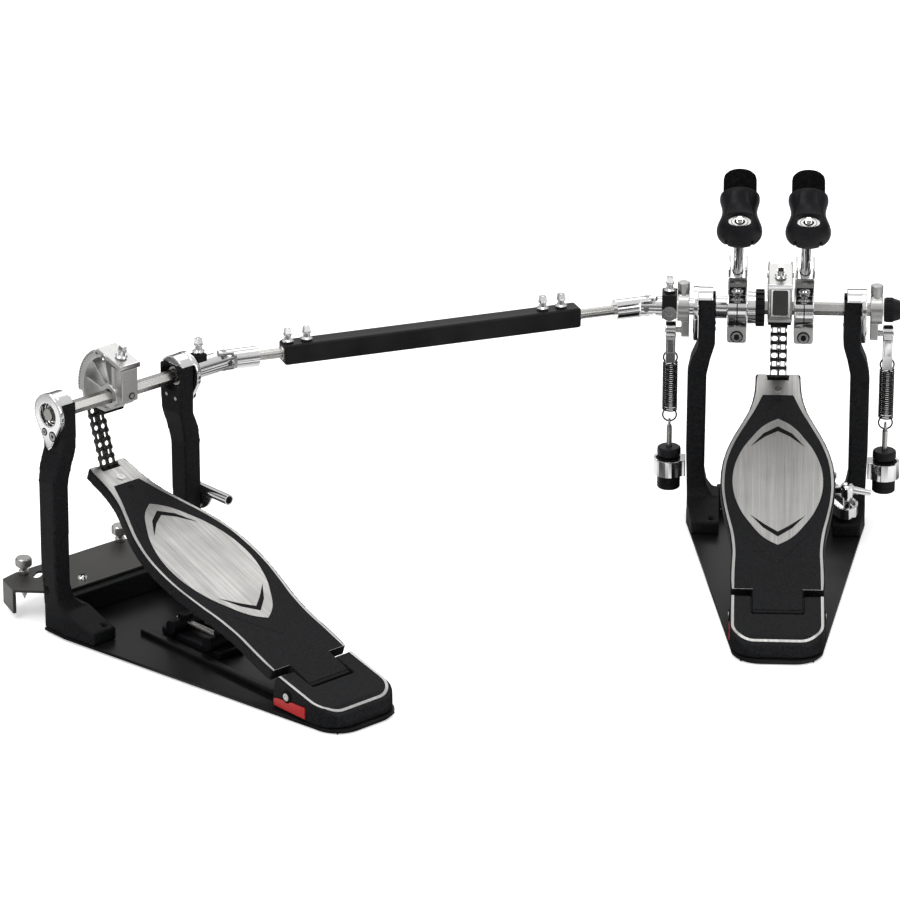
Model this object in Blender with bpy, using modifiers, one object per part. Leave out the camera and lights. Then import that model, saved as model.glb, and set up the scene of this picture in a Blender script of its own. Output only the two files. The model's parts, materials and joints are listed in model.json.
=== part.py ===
"""Twin bass drum pedal: a master pedal with two beaters, a slave pedal and the shaft that links them.

Metres, +Z up. The origin is on the floor under the middle of the master pedal's shaft, +X runs along
that shaft to the right, and +Y points at the drum. Each pedal is modelled in its own frame (an empty),
so the slave is the same pedal turned and moved. Axis frames are empties on the joints' axes.
"""

import math

import bmesh
import bpy
from mathutils import Matrix, Vector

# Driving dimensions -------------------------------------------------------------------------------
GAP = 0.0003                      # clearance between touching pieces
SHAFT_HEIGHT = 0.1753             # shaft axis above the floor
SLAVE_PLACE = (-0.491, -0.204, 0.0)
SLAVE_TURN = math.radians(44.7)   # how far the slave pedal is turned about the vertical

PLATE_TOP = 0.0040                # base plate, top surface
PLATE_HALF = 0.0697               # half width between the posts
PLATE_FRONT = 0.0072              # front edge of the plate
PLATE_BEND = -0.0307              # where the sides start to taper
PLATE_END_HALF = 0.0344
PLATE_END = -0.2612
PLATE_END_RADIUS = 0.022

POST_INNER = 0.0560
POST_OUTER = 0.0706
POST_HALF_DEPTH = 0.0088
POST_TOP_INNER = 0.0494
POST_TOP_OUTER = 0.0627
POST_TOP = 0.0092                 # above the shaft axis
CAP_RADIUS = 0.016
CAP_INNER = 0.0515
CAP_OUTER = 0.0666
CAP_TIP = -0.028                  # tip of the cap's side plate, below the axis
BEARING_RADIUS = 0.0099
BEARING_INNER = 0.0535
BEARING_OUTER = 0.0625
CAP_BORE = 0.0088                 # opening in the side plate, in front of the bearing

HEX_CORNER = 0.0052               # hexagonal shaft, corner radius
BORE = 0.0055                     # holes that pass the hexagonal shaft
SLEEVE_RADIUS = 0.0065
SLEEVE_BORE = 0.0068              # holes that pass the sleeve

CAM_RADIUS = 0.0322               # seat of the chain
CAM_HALF = 0.0095
CHAIN_RADIUS = 0.0355             # middle of the chain's thickness
CHAIN_HALF = 0.0078
CHAIN_THICK = 0.0050
CHAIN_TOE = (0.0145, 0.1130)      # y, z where the chain meets the toe

HINGE_Y = -0.2313                 # footboard hinge
HINGE_Z = 0.0154
BOARD_SLOPE = math.radians(19.55)
BOARD_TOP = 0.0101                # upper surface above the hinge axis, along the board's normal
BOARD_TOE = 0.2672                # hinge axis to toe, along the board
BOARD_SHOULDER = 0.0205
BOARD_THICK = 0.0090
TONGUE_HALF = 0.0190
TONGUE_END = -0.0048
NOTCH_HALF = 0.0090
NOTCH_DEPTH = 0.0130

HUB_HALF = 0.0075
HUB_RADIUS = 0.016
ROD_RADIUS = 0.0038
ROD_LEAN = math.radians(42.0)     # beater rod's lean towards the drummer
ROD_FOOT = (-0.020, 0.038)        # y, z above the axis where the rod leaves its holder
HEAD_CENTRE = 0.0955              # along the rod from there

SPRING_X = 0.0838                 # spring line of the master's two springs
LEVER_PIN = 0.0192                # lever pin below the axis
PIN_RADIUS = 0.0023
SPRING_EYE = 0.0820               # height of the lower anchor

JOINT_MASTER = -0.1029            # universal joint centres, along each pedal's shaft
JOINT_SLAVE = 0.1014
FORK_RADIUS = 0.0078
FORK_SLOT = 0.0050
FORK_ARM = 0.0038
FORK_REACH = 0.0042               # arms past the joint's centre

PARTS = "twin_bass_drum_pedal"
CUTTERS = "twin_bass_drum_pedal_cutters"

# Which way a flat outline's (u, v) lies, and the way it is extruded.
PLANE_XY = Matrix.Identity(3)
PLANE_YZ = Matrix(((0, 0, 1), (1, 0, 0), (0, 1, 0)))
PLANE_XZ = Matrix(((1, 0, 0), (0, 0, -1), (0, 1, 0)))


# Scene and helper functions -----------------------------------------------------------------------
def clear_scene():
    for obj in list(bpy.data.objects):
        bpy.data.objects.remove(obj, do_unlink=True)


def add_collection(name):
    made = bpy.data.collections.new(name)
    bpy.context.scene.collection.children.link(made)
    return made


def finish(name, colour, roughness, metallic):
    material = bpy.data.materials.new(name)
    material.use_nodes = True
    shader = material.node_tree.nodes["Principled BSDF"]
    shader.inputs["Base Color"].default_value = (*colour, 1.0)
    shader.inputs["Roughness"].default_value = roughness
    shader.inputs["Metallic"].default_value = metallic
    return material


def make_finishes():
    return {
        "powder": finish("black_powder_coat", (0.018, 0.018, 0.020), 0.62, 0.0),
        "satin": finish("black_satin_steel", (0.022, 0.022, 0.024), 0.35, 0.2),
        "chrome": finish("chrome_plate", (0.80, 0.80, 0.80), 0.08, 1.0),
        "steel": finish("bright_steel", (0.62, 0.62, 0.62), 0.28, 1.0),
        "cast": finish("cast_aluminium", (0.66, 0.66, 0.65), 0.40, 1.0),
        "plastic": finish("black_plastic", (0.025, 0.025, 0.027), 0.45, 0.0),
        "felt": finish("black_felt", (0.010, 0.010, 0.010), 0.95, 0.0),
        "chain": finish("black_chain", (0.015, 0.015, 0.016), 0.35, 0.6),
    }


def add_frame(name, parent, place, turn=(0.0, 0.0, 0.0)):
    frame = bpy.data.objects.new(name, None)
    frame.empty_display_size = 0.02
    frame.parent = parent
    frame.location = place
    frame.rotation_euler = turn
    bpy.data.collections[PARTS].objects.link(frame)
    return frame


def add_solid(name, mesh, frame):
    """A new object in the cutters' collection; keep() makes it a part."""
    obj = bpy.data.objects.new(name, mesh)
    obj.parent = frame
    obj.hide_render = True
    obj.display_type = "WIRE"
    bpy.data.collections[CUTTERS].objects.link(obj)
    return obj


def keep(obj, name, material):
    obj.name = name
    obj.data.name = name
    obj.hide_render = False
    obj.display_type = "TEXTURED"
    bpy.data.collections[CUTTERS].objects.unlink(obj)
    bpy.data.collections[PARTS].objects.link(obj)
    obj.data.materials.clear()
    obj.data.materials.append(material)
    return obj


def mesh_from(bm, name):
    bmesh.ops.recalc_face_normals(bm, faces=bm.faces)
    mesh = bpy.data.meshes.new(name)
    bm.to_mesh(mesh)
    bm.free()
    mesh.shade_smooth()
    mesh.set_sharp_from_angle(angle=math.radians(35))
    return mesh


def box(frame, low, high):
    low, high = Vector(low), Vector(high)
    bm = bmesh.new()
    size = Matrix.Diagonal((*(high - low), 1.0))
    bmesh.ops.create_cube(bm, size=1.0, matrix=Matrix.Translation((low + high) / 2) @ size)
    return add_solid("box", mesh_from(bm, "box"), frame)


def cylinder(frame, start, end, radius, sides=24, end_radius=None):
    start, end = Vector(start), Vector(end)
    along = end - start
    turn = Vector((0, 0, 1)).rotation_difference(along).to_matrix().to_4x4()
    bm = bmesh.new()
    bmesh.ops.create_cone(
        bm, cap_ends=True, segments=sides, radius1=radius, radius2=end_radius or radius,
        depth=along.length, matrix=Matrix.Translation((start + end) / 2) @ turn)
    return add_solid("cylinder", mesh_from(bm, "cylinder"), frame)


def turned(frame, profile, turn=(0.0, 0.0, 0.0), place=(0.0, 0.0, 0.0), steps=28, closed=False):
    """Profile points are (radius, height), down the outer side. A closed profile leaves a bore."""
    bm = bmesh.new()
    points = [bm.verts.new((radius, 0.0, height)) for radius, height in profile]
    for first, second in zip(points, points[1:] + points[:1]):
        if closed or second is not points[0]:
            bm.edges.new((first, second))
    mesh = bpy.data.meshes.new("turned")
    bm.to_mesh(mesh)
    bm.free()
    obj = add_solid("turned", mesh, frame)
    obj.rotation_euler = turn
    obj.location = place
    screw = obj.modifiers.new("screw", "SCREW")
    screw.steps = steps
    screw.render_steps = steps
    screw.use_merge_vertices = True
    screw.merge_threshold = 0.00001
    screw.use_smooth_shade = True
    return obj


def outline(frame, loops, low, high, plane=PLANE_XY):
    """A flat outline, with any holes as further loops, extruded from low to high along its normal."""
    curve = bpy.data.curves.new("outline", "CURVE")
    curve.dimensions = "2D"
    curve.fill_mode = "BOTH"
    curve.extrude = (high - low) / 2
    for loop in loops:
        spline = curve.splines.new("POLY")
        spline.points.add(len(loop) - 1)
        for point, (u, v) in zip(spline.points, loop):
            point.co = (u, v, 0.0, 1.0)
        spline.use_cyclic_u = True
    helper = bpy.data.objects.new("outline", curve)
    bpy.data.collections[CUTTERS].objects.link(helper)
    graph = bpy.context.evaluated_depsgraph_get()
    flat = bpy.data.meshes.new_from_object(helper.evaluated_get(graph))
    bpy.data.objects.remove(helper, do_unlink=True)
    bm = bmesh.new()
    bm.from_mesh(flat)
    bmesh.ops.remove_doubles(bm, verts=bm.verts, dist=0.000001)
    move = plane.to_4x4() @ Matrix.Translation((0, 0, (low + high) / 2))
    bmesh.ops.transform(bm, matrix=move, verts=bm.verts)
    return add_solid("outline", mesh_from(bm, "outline"), frame)


def boolean(target, operation, *tools):
    for tool in tools:
        change = target.modifiers.new(operation.lower(), "BOOLEAN")
        change.operation = operation
        change.solver = "EXACT"
        change.object = tool
    return target


def cut(target, *tools):
    return boolean(target, "DIFFERENCE", *tools)


def join(target, *tools):
    return boolean(target, "UNION", *tools)


def common(target, *tools):
    return boolean(target, "INTERSECT", *tools)


def arc(centre, radius, first, last, steps=10):
    """Points on an arc from one angle to another, in degrees."""
    angles = [math.radians(first + (last - first) * i / steps) for i in range(steps + 1)]
    return [(centre[0] + radius * math.cos(a), centre[1] + radius * math.sin(a)) for a in angles]


def stadium(first, last, radius, steps=8):
    """Two round ends joined by straight sides, round the line between two points."""
    heading = math.degrees(math.atan2(last[1] - first[1], last[0] - first[0]))
    return (arc(last, radius, heading - 90, heading + 90, steps)
            + arc(first, radius, heading + 90, heading + 270, steps))


def smooth_path(points, steps):
    """Points on a smooth curve through the given ones (Catmull-Rom)."""
    ends = [points[0]] + list(points) + [points[-1]]
    found = []
    for i in range(1, len(ends) - 2):
        p0, p1, p2, p3 = (Vector(p) for p in ends[i - 1:i + 3])
        for j in range(steps):
            t = j / steps
            found.append(tuple(0.5 * ((2 * p1) + (p2 - p0) * t + (2 * p0 - 5 * p1 + 4 * p2 - p3) * t * t
                                      + (3 * p1 - p0 - 3 * p2 + p3) * t ** 3)))
    return found + [tuple(points[-1])]


def mirrored(half):
    """A closed outline from its right-hand half, listed from one end to the other."""
    return half + [(-x, y) for x, y in reversed(half) if x > 1e-6]


# One pedal's standing parts -----------------------------------------------------------------------
def base_plate(pedal, name, finishes):
    half = [(PLATE_HALF, PLATE_FRONT), (PLATE_HALF, PLATE_BEND), (PLATE_END_HALF, PLATE_END)]
    corner = (PLATE_END_HALF - PLATE_END_RADIUS, PLATE_END)
    half += arc(corner, PLATE_END_RADIUS, -10, -90, 5)
    plate = outline(pedal, [mirrored(half)], 0.0, PLATE_TOP)
    for side in (-1, 1):
        inner, outer = sorted((side * 0.018, side * 0.0245))
        join(plate, box(pedal, (inner, -0.205, PLATE_TOP - 0.001), (outer, -0.050, 0.0080)))
    return keep(plate, name + "_base_plate", finishes["satin"])


def post_outlines():
    axis = SHAFT_HEIGHT
    foot = PLATE_TOP + GAP
    front = [(0.0440, foot), (0.0694, foot), (0.0694, 0.0230), (POST_OUTER, 0.060), (0.0704, 0.122),
             (0.0680, 0.134), (POST_TOP_OUTER, 0.146), (POST_TOP_OUTER, axis + POST_TOP),
             (POST_TOP_INNER, axis + POST_TOP), (POST_TOP_INNER, 0.148), (0.0528, 0.136),
             (0.0556, 0.122), (POST_INNER, 0.040), (0.0540, 0.030), (0.0500, 0.0245), (0.0440, 0.0230)]
    side = [(PLATE_FRONT, foot), (PLATE_FRONT, 0.0230), (0.0087, 0.045), (0.0087, 0.118),
            (0.0115, 0.145), (0.0120, axis - 0.002), (0.0120, axis + POST_TOP),
            (-0.0120, axis + POST_TOP), (-0.0120, axis - 0.002), (-0.0115, 0.145),
            (-POST_HALF_DEPTH, 0.118), (-POST_HALF_DEPTH, 0.040), (-0.0105, 0.029), (-0.0150, 0.0228),
            (-0.0340, 0.0170), (-0.0460, 0.0140), (-0.0460, foot)]
    return front, side


def post_frame(pedal, name, finishes):
    """Both posts, their feet and the bar between them are one casting."""
    front, side = post_outlines()
    casting = outline(pedal, [front], -0.02, 0.05, PLANE_XZ)
    common(casting, outline(pedal, [side], 0.04, 0.075, PLANE_YZ))
    bar = box(pedal, (-0.005, 0.005, PLATE_TOP + GAP), (0.046, 0.016, 0.022))
    join(casting, bar)
    bore = cylinder(pedal, (0.045, 0, SHAFT_HEIGHT), (0.075, 0, SHAFT_HEIGHT), BEARING_RADIUS + GAP)
    cut(casting, bore)
    mirror = casting.modifiers.new("mirror", "MIRROR")
    mirror.use_bisect_axis[0] = True
    mirror.merge_threshold = 0.00001
    return keep(casting, name + "_frame", finishes["powder"])


def bearing_cap(pedal, name, side, finishes):
    """Half-round cover over the post's top, in one piece with the pointed side plate."""
    axis = SHAFT_HEIGHT
    cover_radius = CAP_RADIUS - 0.0003
    lift = math.degrees(math.asin((POST_TOP + GAP) / cover_radius))
    cover = arc((0, axis), cover_radius, lift, 180 - lift, 14)
    plate = arc((0, axis), CAP_RADIUS, -18, 198, 18) + [(-0.0035, axis + CAP_TIP + 0.003),
                                                       (0, axis + CAP_TIP),
                                                       (0.0035, axis + CAP_TIP + 0.003)]
    reach = sorted((side * CAP_INNER, side * (CAP_OUTER - 0.001)))
    wall = sorted((side * (POST_TOP_OUTER + GAP), side * CAP_OUTER))
    cap = outline(pedal, [cover], *reach, PLANE_YZ)
    join(cap, outline(pedal, [plate], *wall, PLANE_YZ))
    cut(cap, cylinder(pedal, (side * 0.045, 0, axis), (side * (BEARING_OUTER + GAP), 0, axis),
                      BEARING_RADIUS + GAP))
    cut(cap, cylinder(pedal, (side * 0.045, 0, axis), (side * 0.075, 0, axis), CAP_BORE))
    return keep(cap, name + "_bearing_cap", finishes["chrome"])


def bearing(axis, name, side, bore, finishes):
    top, bottom = sorted((side * BEARING_INNER, side * BEARING_OUTER), reverse=True)
    profile = [(bore, top), (BEARING_RADIUS, top), (BEARING_RADIUS, bottom), (bore, bottom)]
    ring = turned(axis, profile, turn=(0, math.pi / 2, 0), closed=True)
    return keep(ring, name + "_bearing", finishes["steel"])


def heel(pedal, name, finishes):
    foot = PLATE_TOP + GAP
    side = [(-0.2145, foot), (-0.2180, 0.0255), (-0.2215, 0.0290), (-0.2680, 0.0178),
            (-0.2765, 0.0135), (-0.2800, 0.0075), (-0.2805, foot)]
    half = [(0.0355, -0.212), (0.0350, -0.258)] + arc((0.0130, -0.2585), 0.022, 0, -90, 8)
    block = outline(pedal, [side], -0.036, 0.036, PLANE_YZ)
    common(block, outline(pedal, [mirrored(half)], 0.0, 0.035))
    cut(block, box(pedal, (-TONGUE_HALF - 0.0006, -0.2425, -0.001), (TONGUE_HALF + 0.0006, -0.20, 0.04)))
    pin = cylinder(pedal, (-0.0300, HINGE_Y, HINGE_Z), (0.0300, HINGE_Y, HINGE_Z), 0.0025 + GAP)
    cut(block, pin)
    return keep(block, name + "_heel", finishes["powder"])


def hinge_pin(pedal, name, finishes):
    pin = cylinder(pedal, (-0.0295, HINGE_Y, HINGE_Z), (0.0295, HINGE_Y, HINGE_Z), 0.0025, 20)
    return keep(pin, name + "_hinge_pin", finishes["steel"])


# One pedal's moving parts -------------------------------------------------------------------------
def board_half():
    """Right-hand edge of the footboard from the shoulder to the toe, as (x, distance from hinge)."""
    points = [(0.0350, BOARD_SHOULDER), (0.0356, 0.0320), (0.0352, 0.0500), (0.0349, 0.0640),
              (0.0366, 0.0830), (0.0400, 0.1030), (0.0430, 0.1250), (0.0437, 0.1440),
              (0.0420, 0.1640), (0.0370, 0.1850), (0.0295, 0.2050), (0.0226, 0.2230),
              (0.0187, 0.2420), (0.0176, 0.2600)]
    return smooth_path(points, 2)


def footboard(hinge, name, finishes):
    half = [(TONGUE_HALF, TONGUE_END), (TONGUE_HALF, BOARD_SHOULDER + 0.0004)] + board_half()
    half += arc((0.0150, BOARD_TOE - 0.0026), 0.0026, 0, 90, 3)
    half += [(NOTCH_HALF, BOARD_TOE), (NOTCH_HALF, BOARD_TOE - NOTCH_DEPTH)]
    board = outline(hinge, [mirrored(half)], BOARD_TOP - BOARD_THICK, BOARD_TOP)
    inner = [(x - 0.0045, y) for x, y in board_half() if 0.040 < y < 0.245]
    cut(board, outline(hinge, [mirrored(inner)], BOARD_TOP - 0.020, BOARD_TOP - 0.0040))
    barrel = TONGUE_HALF - 0.0004
    join(board, cylinder(hinge, (-barrel, 0, 0), (barrel, 0, 0), 0.0058))
    cut(board, cylinder(hinge, (-0.03, 0, 0), (0.03, 0, 0), 0.0025 + GAP))
    return keep(board, name + "_footboard", finishes["powder"])


def cam_wheel(axis, name, finishes):
    """Open wheel whose rim carries the chain over the front, with spokes to the hub."""
    rim = arc((0, 0), CAM_RADIUS, -3, 60, 14)
    body = rim + [(-0.0060, 0.0228), (-0.0060, 0.0060)] + arc((0, 0), 0.0085, 135, 240, 6)
    body += [(-0.0020, -0.0180), (0.0210, -0.0180)]
    holes = []
    for first, last in ((1, 24), (32, 60), (68, 92)):
        inner_radius = 0.0128
        outer_radius = 0.0275 if last < 80 else 0.0205
        holes.append(arc((0, 0), outer_radius, first, last, 5) + arc((0, 0), inner_radius, last, first, 3))
    wheel = outline(axis, [body] + holes, -CAM_HALF, CAM_HALF, PLANE_YZ)
    cut(wheel, cylinder(axis, (-0.02, 0, 0), (0.02, 0, 0), BORE))
    return keep(wheel, name + "_cam_wheel", finishes["cast"])


def cam_clamp(axis, name, finishes):
    """Sloping lid over the chain's end and the block that grips the shaft, with its key bolt."""
    lid = [(0.0135, 0.0342), (-0.0142, 0.0269), (-0.0142, 0.0219), (0.0148, 0.0295)]
    block = [(-0.0090, 0.0240), (-0.0140, 0.0225), (-0.0140, -0.0050), (-0.0090, -0.0050)]
    clamp = outline(axis, [lid], -0.0095, 0.0095, PLANE_YZ)
    join(clamp, outline(axis, [block], -0.0073, 0.0073, PLANE_YZ))
    join(clamp, cylinder(axis, (0, -0.0035, 0.0280), (0, -0.0062, 0.0392), 0.0030, 12))
    return keep(clamp, name + "_cam_clamp", finishes["chrome"])


def chain_on_cam(axis, name, finishes):
    inner, outer = CHAIN_RADIUS - CHAIN_THICK / 2, CHAIN_RADIUS + CHAIN_THICK / 2
    band = arc((0, 0), outer, 6, 61, 10) + arc((0, 0), inner, 61, 6, 10)
    wrap = outline(axis, [band], -CHAIN_HALF, CHAIN_HALF, PLANE_YZ)
    return keep(wrap, name + "_chain_on_cam", finishes["chain"])


def chain_drop(pedal, name, finishes):
    """The hanging run, from the cam's rim down to the toe; its frame is on the rim."""
    run_y = CHAIN_TOE[0] - CHAIN_RADIUS
    run_z = CHAIN_TOE[1] - SHAFT_HEIGHT
    lean = math.atan2(run_y, -run_z)
    rim = add_frame(name + "_chain_rim", pedal, (0, CHAIN_RADIUS, SHAFT_HEIGHT), (lean, 0, 0))
    length = math.hypot(run_y, run_z)
    path = stadium((0.0, 0.0), (0.0, -length + CHAIN_THICK / 2), CHAIN_THICK / 2 - 0.0001, 4)
    run = outline(rim, [path], -CHAIN_HALF, CHAIN_HALF, PLANE_YZ)
    return keep(run, name + "_chain_drop", finishes["chain"])


# Beaters ------------------------------------------------------------------------------------------
def beater(axis, name, place, bore, finishes):
    """Hub on the shaft, rod, moulded head and felt. The rod's frame has +Z up the rod."""
    rod_frame = add_frame(name + "_beater_rod_line", axis, (place, *ROD_FOOT), (ROD_LEAN, 0, 0))
    hub = cylinder(axis, (place - HUB_HALF, 0, 0), (place + HUB_HALF, 0, 0), HUB_RADIUS, 36)
    join(hub, box(rod_frame, (-0.0072, -0.0078, -0.0340), (0.0072, 0.0078, 0.0)))
    join(hub, box(axis, (place - 0.0066, -0.0080, -0.0262), (place + 0.0066, 0.0060, -0.0080)))
    cut(hub, cylinder(axis, (place - 0.02, 0, 0), (place + 0.02, 0, 0), bore))
    cut(hub, cylinder(rod_frame, (0, 0, -0.0235), (0, 0, 0.01), ROD_RADIUS + GAP))
    keep(hub, name + "_beater_hub", finishes["chrome"])

    rod = cylinder(rod_frame, (0, 0, -0.0225), (0, 0, HEAD_CENTRE - 0.005), ROD_RADIUS)
    keep(rod, name + "_beater_rod", finishes["chrome"])

    upright = (-math.pi / 2, 0, 0)
    centre = (0, 0, HEAD_CENTRE)
    profile = [(0.0, 0.0127), (0.0138, 0.0127), (0.0150, 0.0110), (0.0150, 0.0076), (0.0133, 0.0008),
               (0.0135, -0.0044), (0.0158, -0.0117), (0.0172, -0.0170), (0.0165, -0.0216),
               (0.0130, -0.0256), (0.0075, -0.0272), (0.0, -0.0275)]
    head = turned(rod_frame, profile, turn=upright, place=centre)
    cut(head, cylinder(rod_frame, (0, 0, HEAD_CENTRE - 0.03), (0, 0, HEAD_CENTRE - 0.0045),
                       ROD_RADIUS + GAP))
    keep(head, name + "_beater_head", finishes["plastic"])

    face = [(0.0, 0.0308), (0.0096, 0.0305), (0.0117, 0.0291), (0.0125, 0.0268), (0.0125, 0.0130),
            (0.0, 0.0130)]
    keep(turned(rod_frame, face, turn=upright, place=centre), name + "_beater_felt", finishes["felt"])


# Return springs -----------------------------------------------------------------------------------
def spring_lever(axis, name, side, bore, finishes):
    """Lever on the shaft: round boss, arm down to the spring pin, knurled screw on top."""
    boss = cylinder(axis, (side * 0.0697, 0, 0), (side * 0.0790, 0, 0), 0.0113, 32)
    arm = [(-0.0070, 0.0), (-0.0045, -0.0225), (-0.0030, -0.0240), (0.0030, -0.0240),
           (0.0045, -0.0225), (0.0070, 0.0)]
    reach = sorted((side * 0.0697, side * 0.0758))
    join(boss, outline(axis, [arm], *reach, PLANE_YZ))
    join(boss, cylinder(axis, (side * 0.0740, 0, -LEVER_PIN), (side * 0.0884, 0, -LEVER_PIN),
                        PIN_RADIUS, 16))
    join(boss, cylinder(axis, (side * 0.0743, 0, 0.0105), (side * 0.0743, 0, 0.0200), 0.0046, 20))
    cut(boss, cylinder(axis, (side * 0.06, 0, 0), (side * 0.09, 0, 0), bore))
    return keep(boss, name + "_spring_lever", finishes["cast"])


def spring_set(pedal, name, side, coil_top, coil_bottom, finishes):
    """Hanger on the lever pin, coil, eye bolt, tension knob and the bracket on the post."""
    x = side * SPRING_X
    anchor = add_frame(name + "_spring_anchor", pedal, (x, 0, SPRING_EYE))
    pin = SHAFT_HEIGHT - LEVER_PIN - SPRING_EYE
    top, bottom = coil_top - SPRING_EYE, coil_bottom - SPRING_EYE

    strap = stadium((0, pin - 0.0009), (0, pin + 0.0009), 0.0058)
    slot = stadium((0, pin - 0.0009), (0, pin + 0.0009), 0.0039)
    hanger = outline(anchor, [strap, slot], -0.0040, 0.0040, PLANE_YZ)
    join(hanger, box(anchor, (-0.0038, -0.0032, top + 0.0006), (0.0038, 0.0032, pin - 0.0045)))
    keep(hanger, name + "_spring_hanger", finishes["chrome"])

    coil = cylinder(anchor, (0, 0, bottom), (0, 0, top), 0.0060, 20)
    keep(coil, name + "_spring", finishes["chain"])

    bolt_top = 0.0780
    bolt = cylinder(pedal, (x, 0, 0.0262), (x, 0, bolt_top), 0.00215, 16)
    join(bolt, cylinder(pedal, (x, 0, 0.0250), (x, 0, 0.0327), 0.0090, 24))
    join(bolt, cylinder(pedal, (x - 0.0013, 0, bolt_top), (x + 0.0013, 0, bolt_top), 0.0036, 16))
    keep(bolt, name + "_eye_bolt", finishes["steel"])

    knob = [(0.0025, 0.0590), (0.0086, 0.0590), (0.0092, 0.0582), (0.0092, 0.0522), (0.0060, 0.0503),
            (0.0025, 0.0503)]
    keep(turned(pedal, knob, place=(x, 0, 0), closed=True), name + "_tension_knob", finishes["plastic"])

    band = [(0.0100, 0.0500), (0.0120, 0.0500), (0.0120, 0.0330), (0.0100, 0.0330), (0.0100, 0.0400),
            (0.0028, 0.0400), (0.0028, 0.0440), (0.0100, 0.0440)]
    bracket = turned(pedal, band, place=(x, 0, 0), closed=True)
    arm = sorted((side * (POST_OUTER + GAP), side * 0.0755))
    join(bracket, box(pedal, (arm[0], -0.0070, 0.0330), (arm[1], 0.0070, 0.0500)))
    keep(bracket, name + "_spring_bracket", finishes["chrome"])


# Shafts and universal joints ----------------------------------------------------------------------
def driven_sleeve(axis, finishes):
    """Tube that turns on the master's shaft and carries the left beater."""
    profile = [(0.0, -0.0460), (BORE, -0.0460), (BORE, -0.0116), (0.0145, -0.0116), (0.0145, -0.0189),
               (0.0125, -0.0189), (0.0125, -0.0251), (SLEEVE_RADIUS, -0.0251), (SLEEVE_RADIUS, -0.0408),
               (0.0088, -0.0408), (0.0088, -0.0494), (SLEEVE_RADIUS, -0.0494), (SLEEVE_RADIUS, -0.0790),
               (0.0, -0.0790)]
    sleeve = turned(axis, profile, turn=(0, math.pi / 2, 0))
    return keep(sleeve, "left_drive_sleeve", finishes["steel"])


def fork(frame, start, centre, slot_side):
    """Round bar from start to just past the joint's centre, slotted to leave two narrowed arms."""
    side = 1 if centre > start else -1
    bar = cylinder(frame, (start, 0, 0), (centre + side * FORK_REACH, 0, 0), FORK_RADIUS, 28)
    low = [centre - 0.0085, -0.02, -0.02]
    high = [centre + 0.0085, 0.02, 0.02]
    low[slot_side], high[slot_side] = -FORK_SLOT, FORK_SLOT
    cut(bar, box(frame, low, high))
    width_side = 3 - slot_side
    for sign in (-1, 1):
        low = [centre - 0.0070, -0.02, -0.02]
        high = [centre + 0.0070, 0.02, 0.02]
        low[width_side], high[width_side] = sorted((sign * FORK_ARM, sign * 0.02))
        cut(bar, box(frame, low, high))
    return bar


def joint_yoke(axis, name, centre, finishes):
    """Collar block that grips the shaft's end, with its key bolt, and the fork."""
    side = 1 if centre > 0 else -1
    inner, outer = centre - side * 0.0236, centre - side * 0.0120
    yoke = fork(axis, outer - side * 0.004, centre, 1)
    low, high = sorted((inner, outer))
    join(yoke, box(axis, (low, -0.0090, -0.0074), (high, 0.0090, 0.0120)))
    middle = (inner + outer) / 2
    join(yoke, cylinder(axis, (middle, 0, 0.0110), (middle, 0, 0.0245), 0.0027, 12))
    return keep(yoke, name + "_joint_yoke", finishes["chrome"])


def joint_cross(axis, name, centre, finishes):
    frame = add_frame(name + "_joint_centre", axis, (centre, 0, 0))
    cross = box(frame, (-0.0032, -0.0032, -0.0032), (0.0032, 0.0032, 0.0032))
    reach = FORK_SLOT - GAP
    short = FORK_SLOT - 0.0008
    join(cross, cylinder(frame, (0, -reach, 0), (0, reach, 0), 0.0022, 16))
    join(cross, cylinder(frame, (0, 0, -short), (0, 0, short), 0.0022, 16))
    return keep(cross, name + "_joint_cross", finishes["steel"])


def link_shaft(master_axis, slave_axis, finishes):
    """Square tube with a rod and fork at each end, between the two joints' centres."""
    bpy.context.view_layer.update()
    start = slave_axis.matrix_world @ Vector((JOINT_SLAVE, 0, 0))
    end = master_axis.matrix_world @ Vector((JOINT_MASTER, 0, 0))
    run = end - start
    line = add_frame("link_line", None, start, (0, 0, math.atan2(run.y, run.x)))
    length = run.length
    tube_start, tube_end = 0.0463, 0.2860
    half, bore = 0.0080, 0.0042
    tube = box(line, (tube_start, -half, -half), (tube_end, half, half))
    bevel = tube.modifiers.new("edges", "BEVEL")
    bevel.width = 0.0012
    bevel.segments = 1
    cut(tube, cylinder(line, (tube_start - 0.01, 0, 0), (tube_end + 0.01, 0, 0), bore, 20))
    for place in (0.0510, 0.0660, 0.2570, 0.2720):
        join(tube, cylinder(line, (place, 0, half - 0.0015), (place, 0, 0.0195), 0.0027, 12))
    keep(tube, "link_tube", finishes["satin"])

    slave_end = fork(line, 0.0265, 0.0, 2)
    join(slave_end, cylinder(line, (0.0200, 0, 0), (0.1150, 0, 0), bore - 0.0004, 16))
    keep(slave_end, "link_rod_slave_end", finishes["steel"])
    master_end = fork(line, length - 0.0265, length, 2)
    join(master_end, cylinder(line, (length - 0.0200, 0, 0), (length - 0.1150, 0, 0), bore - 0.0004, 16))
    keep(master_end, "link_rod_master_end", finishes["steel"])


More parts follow.
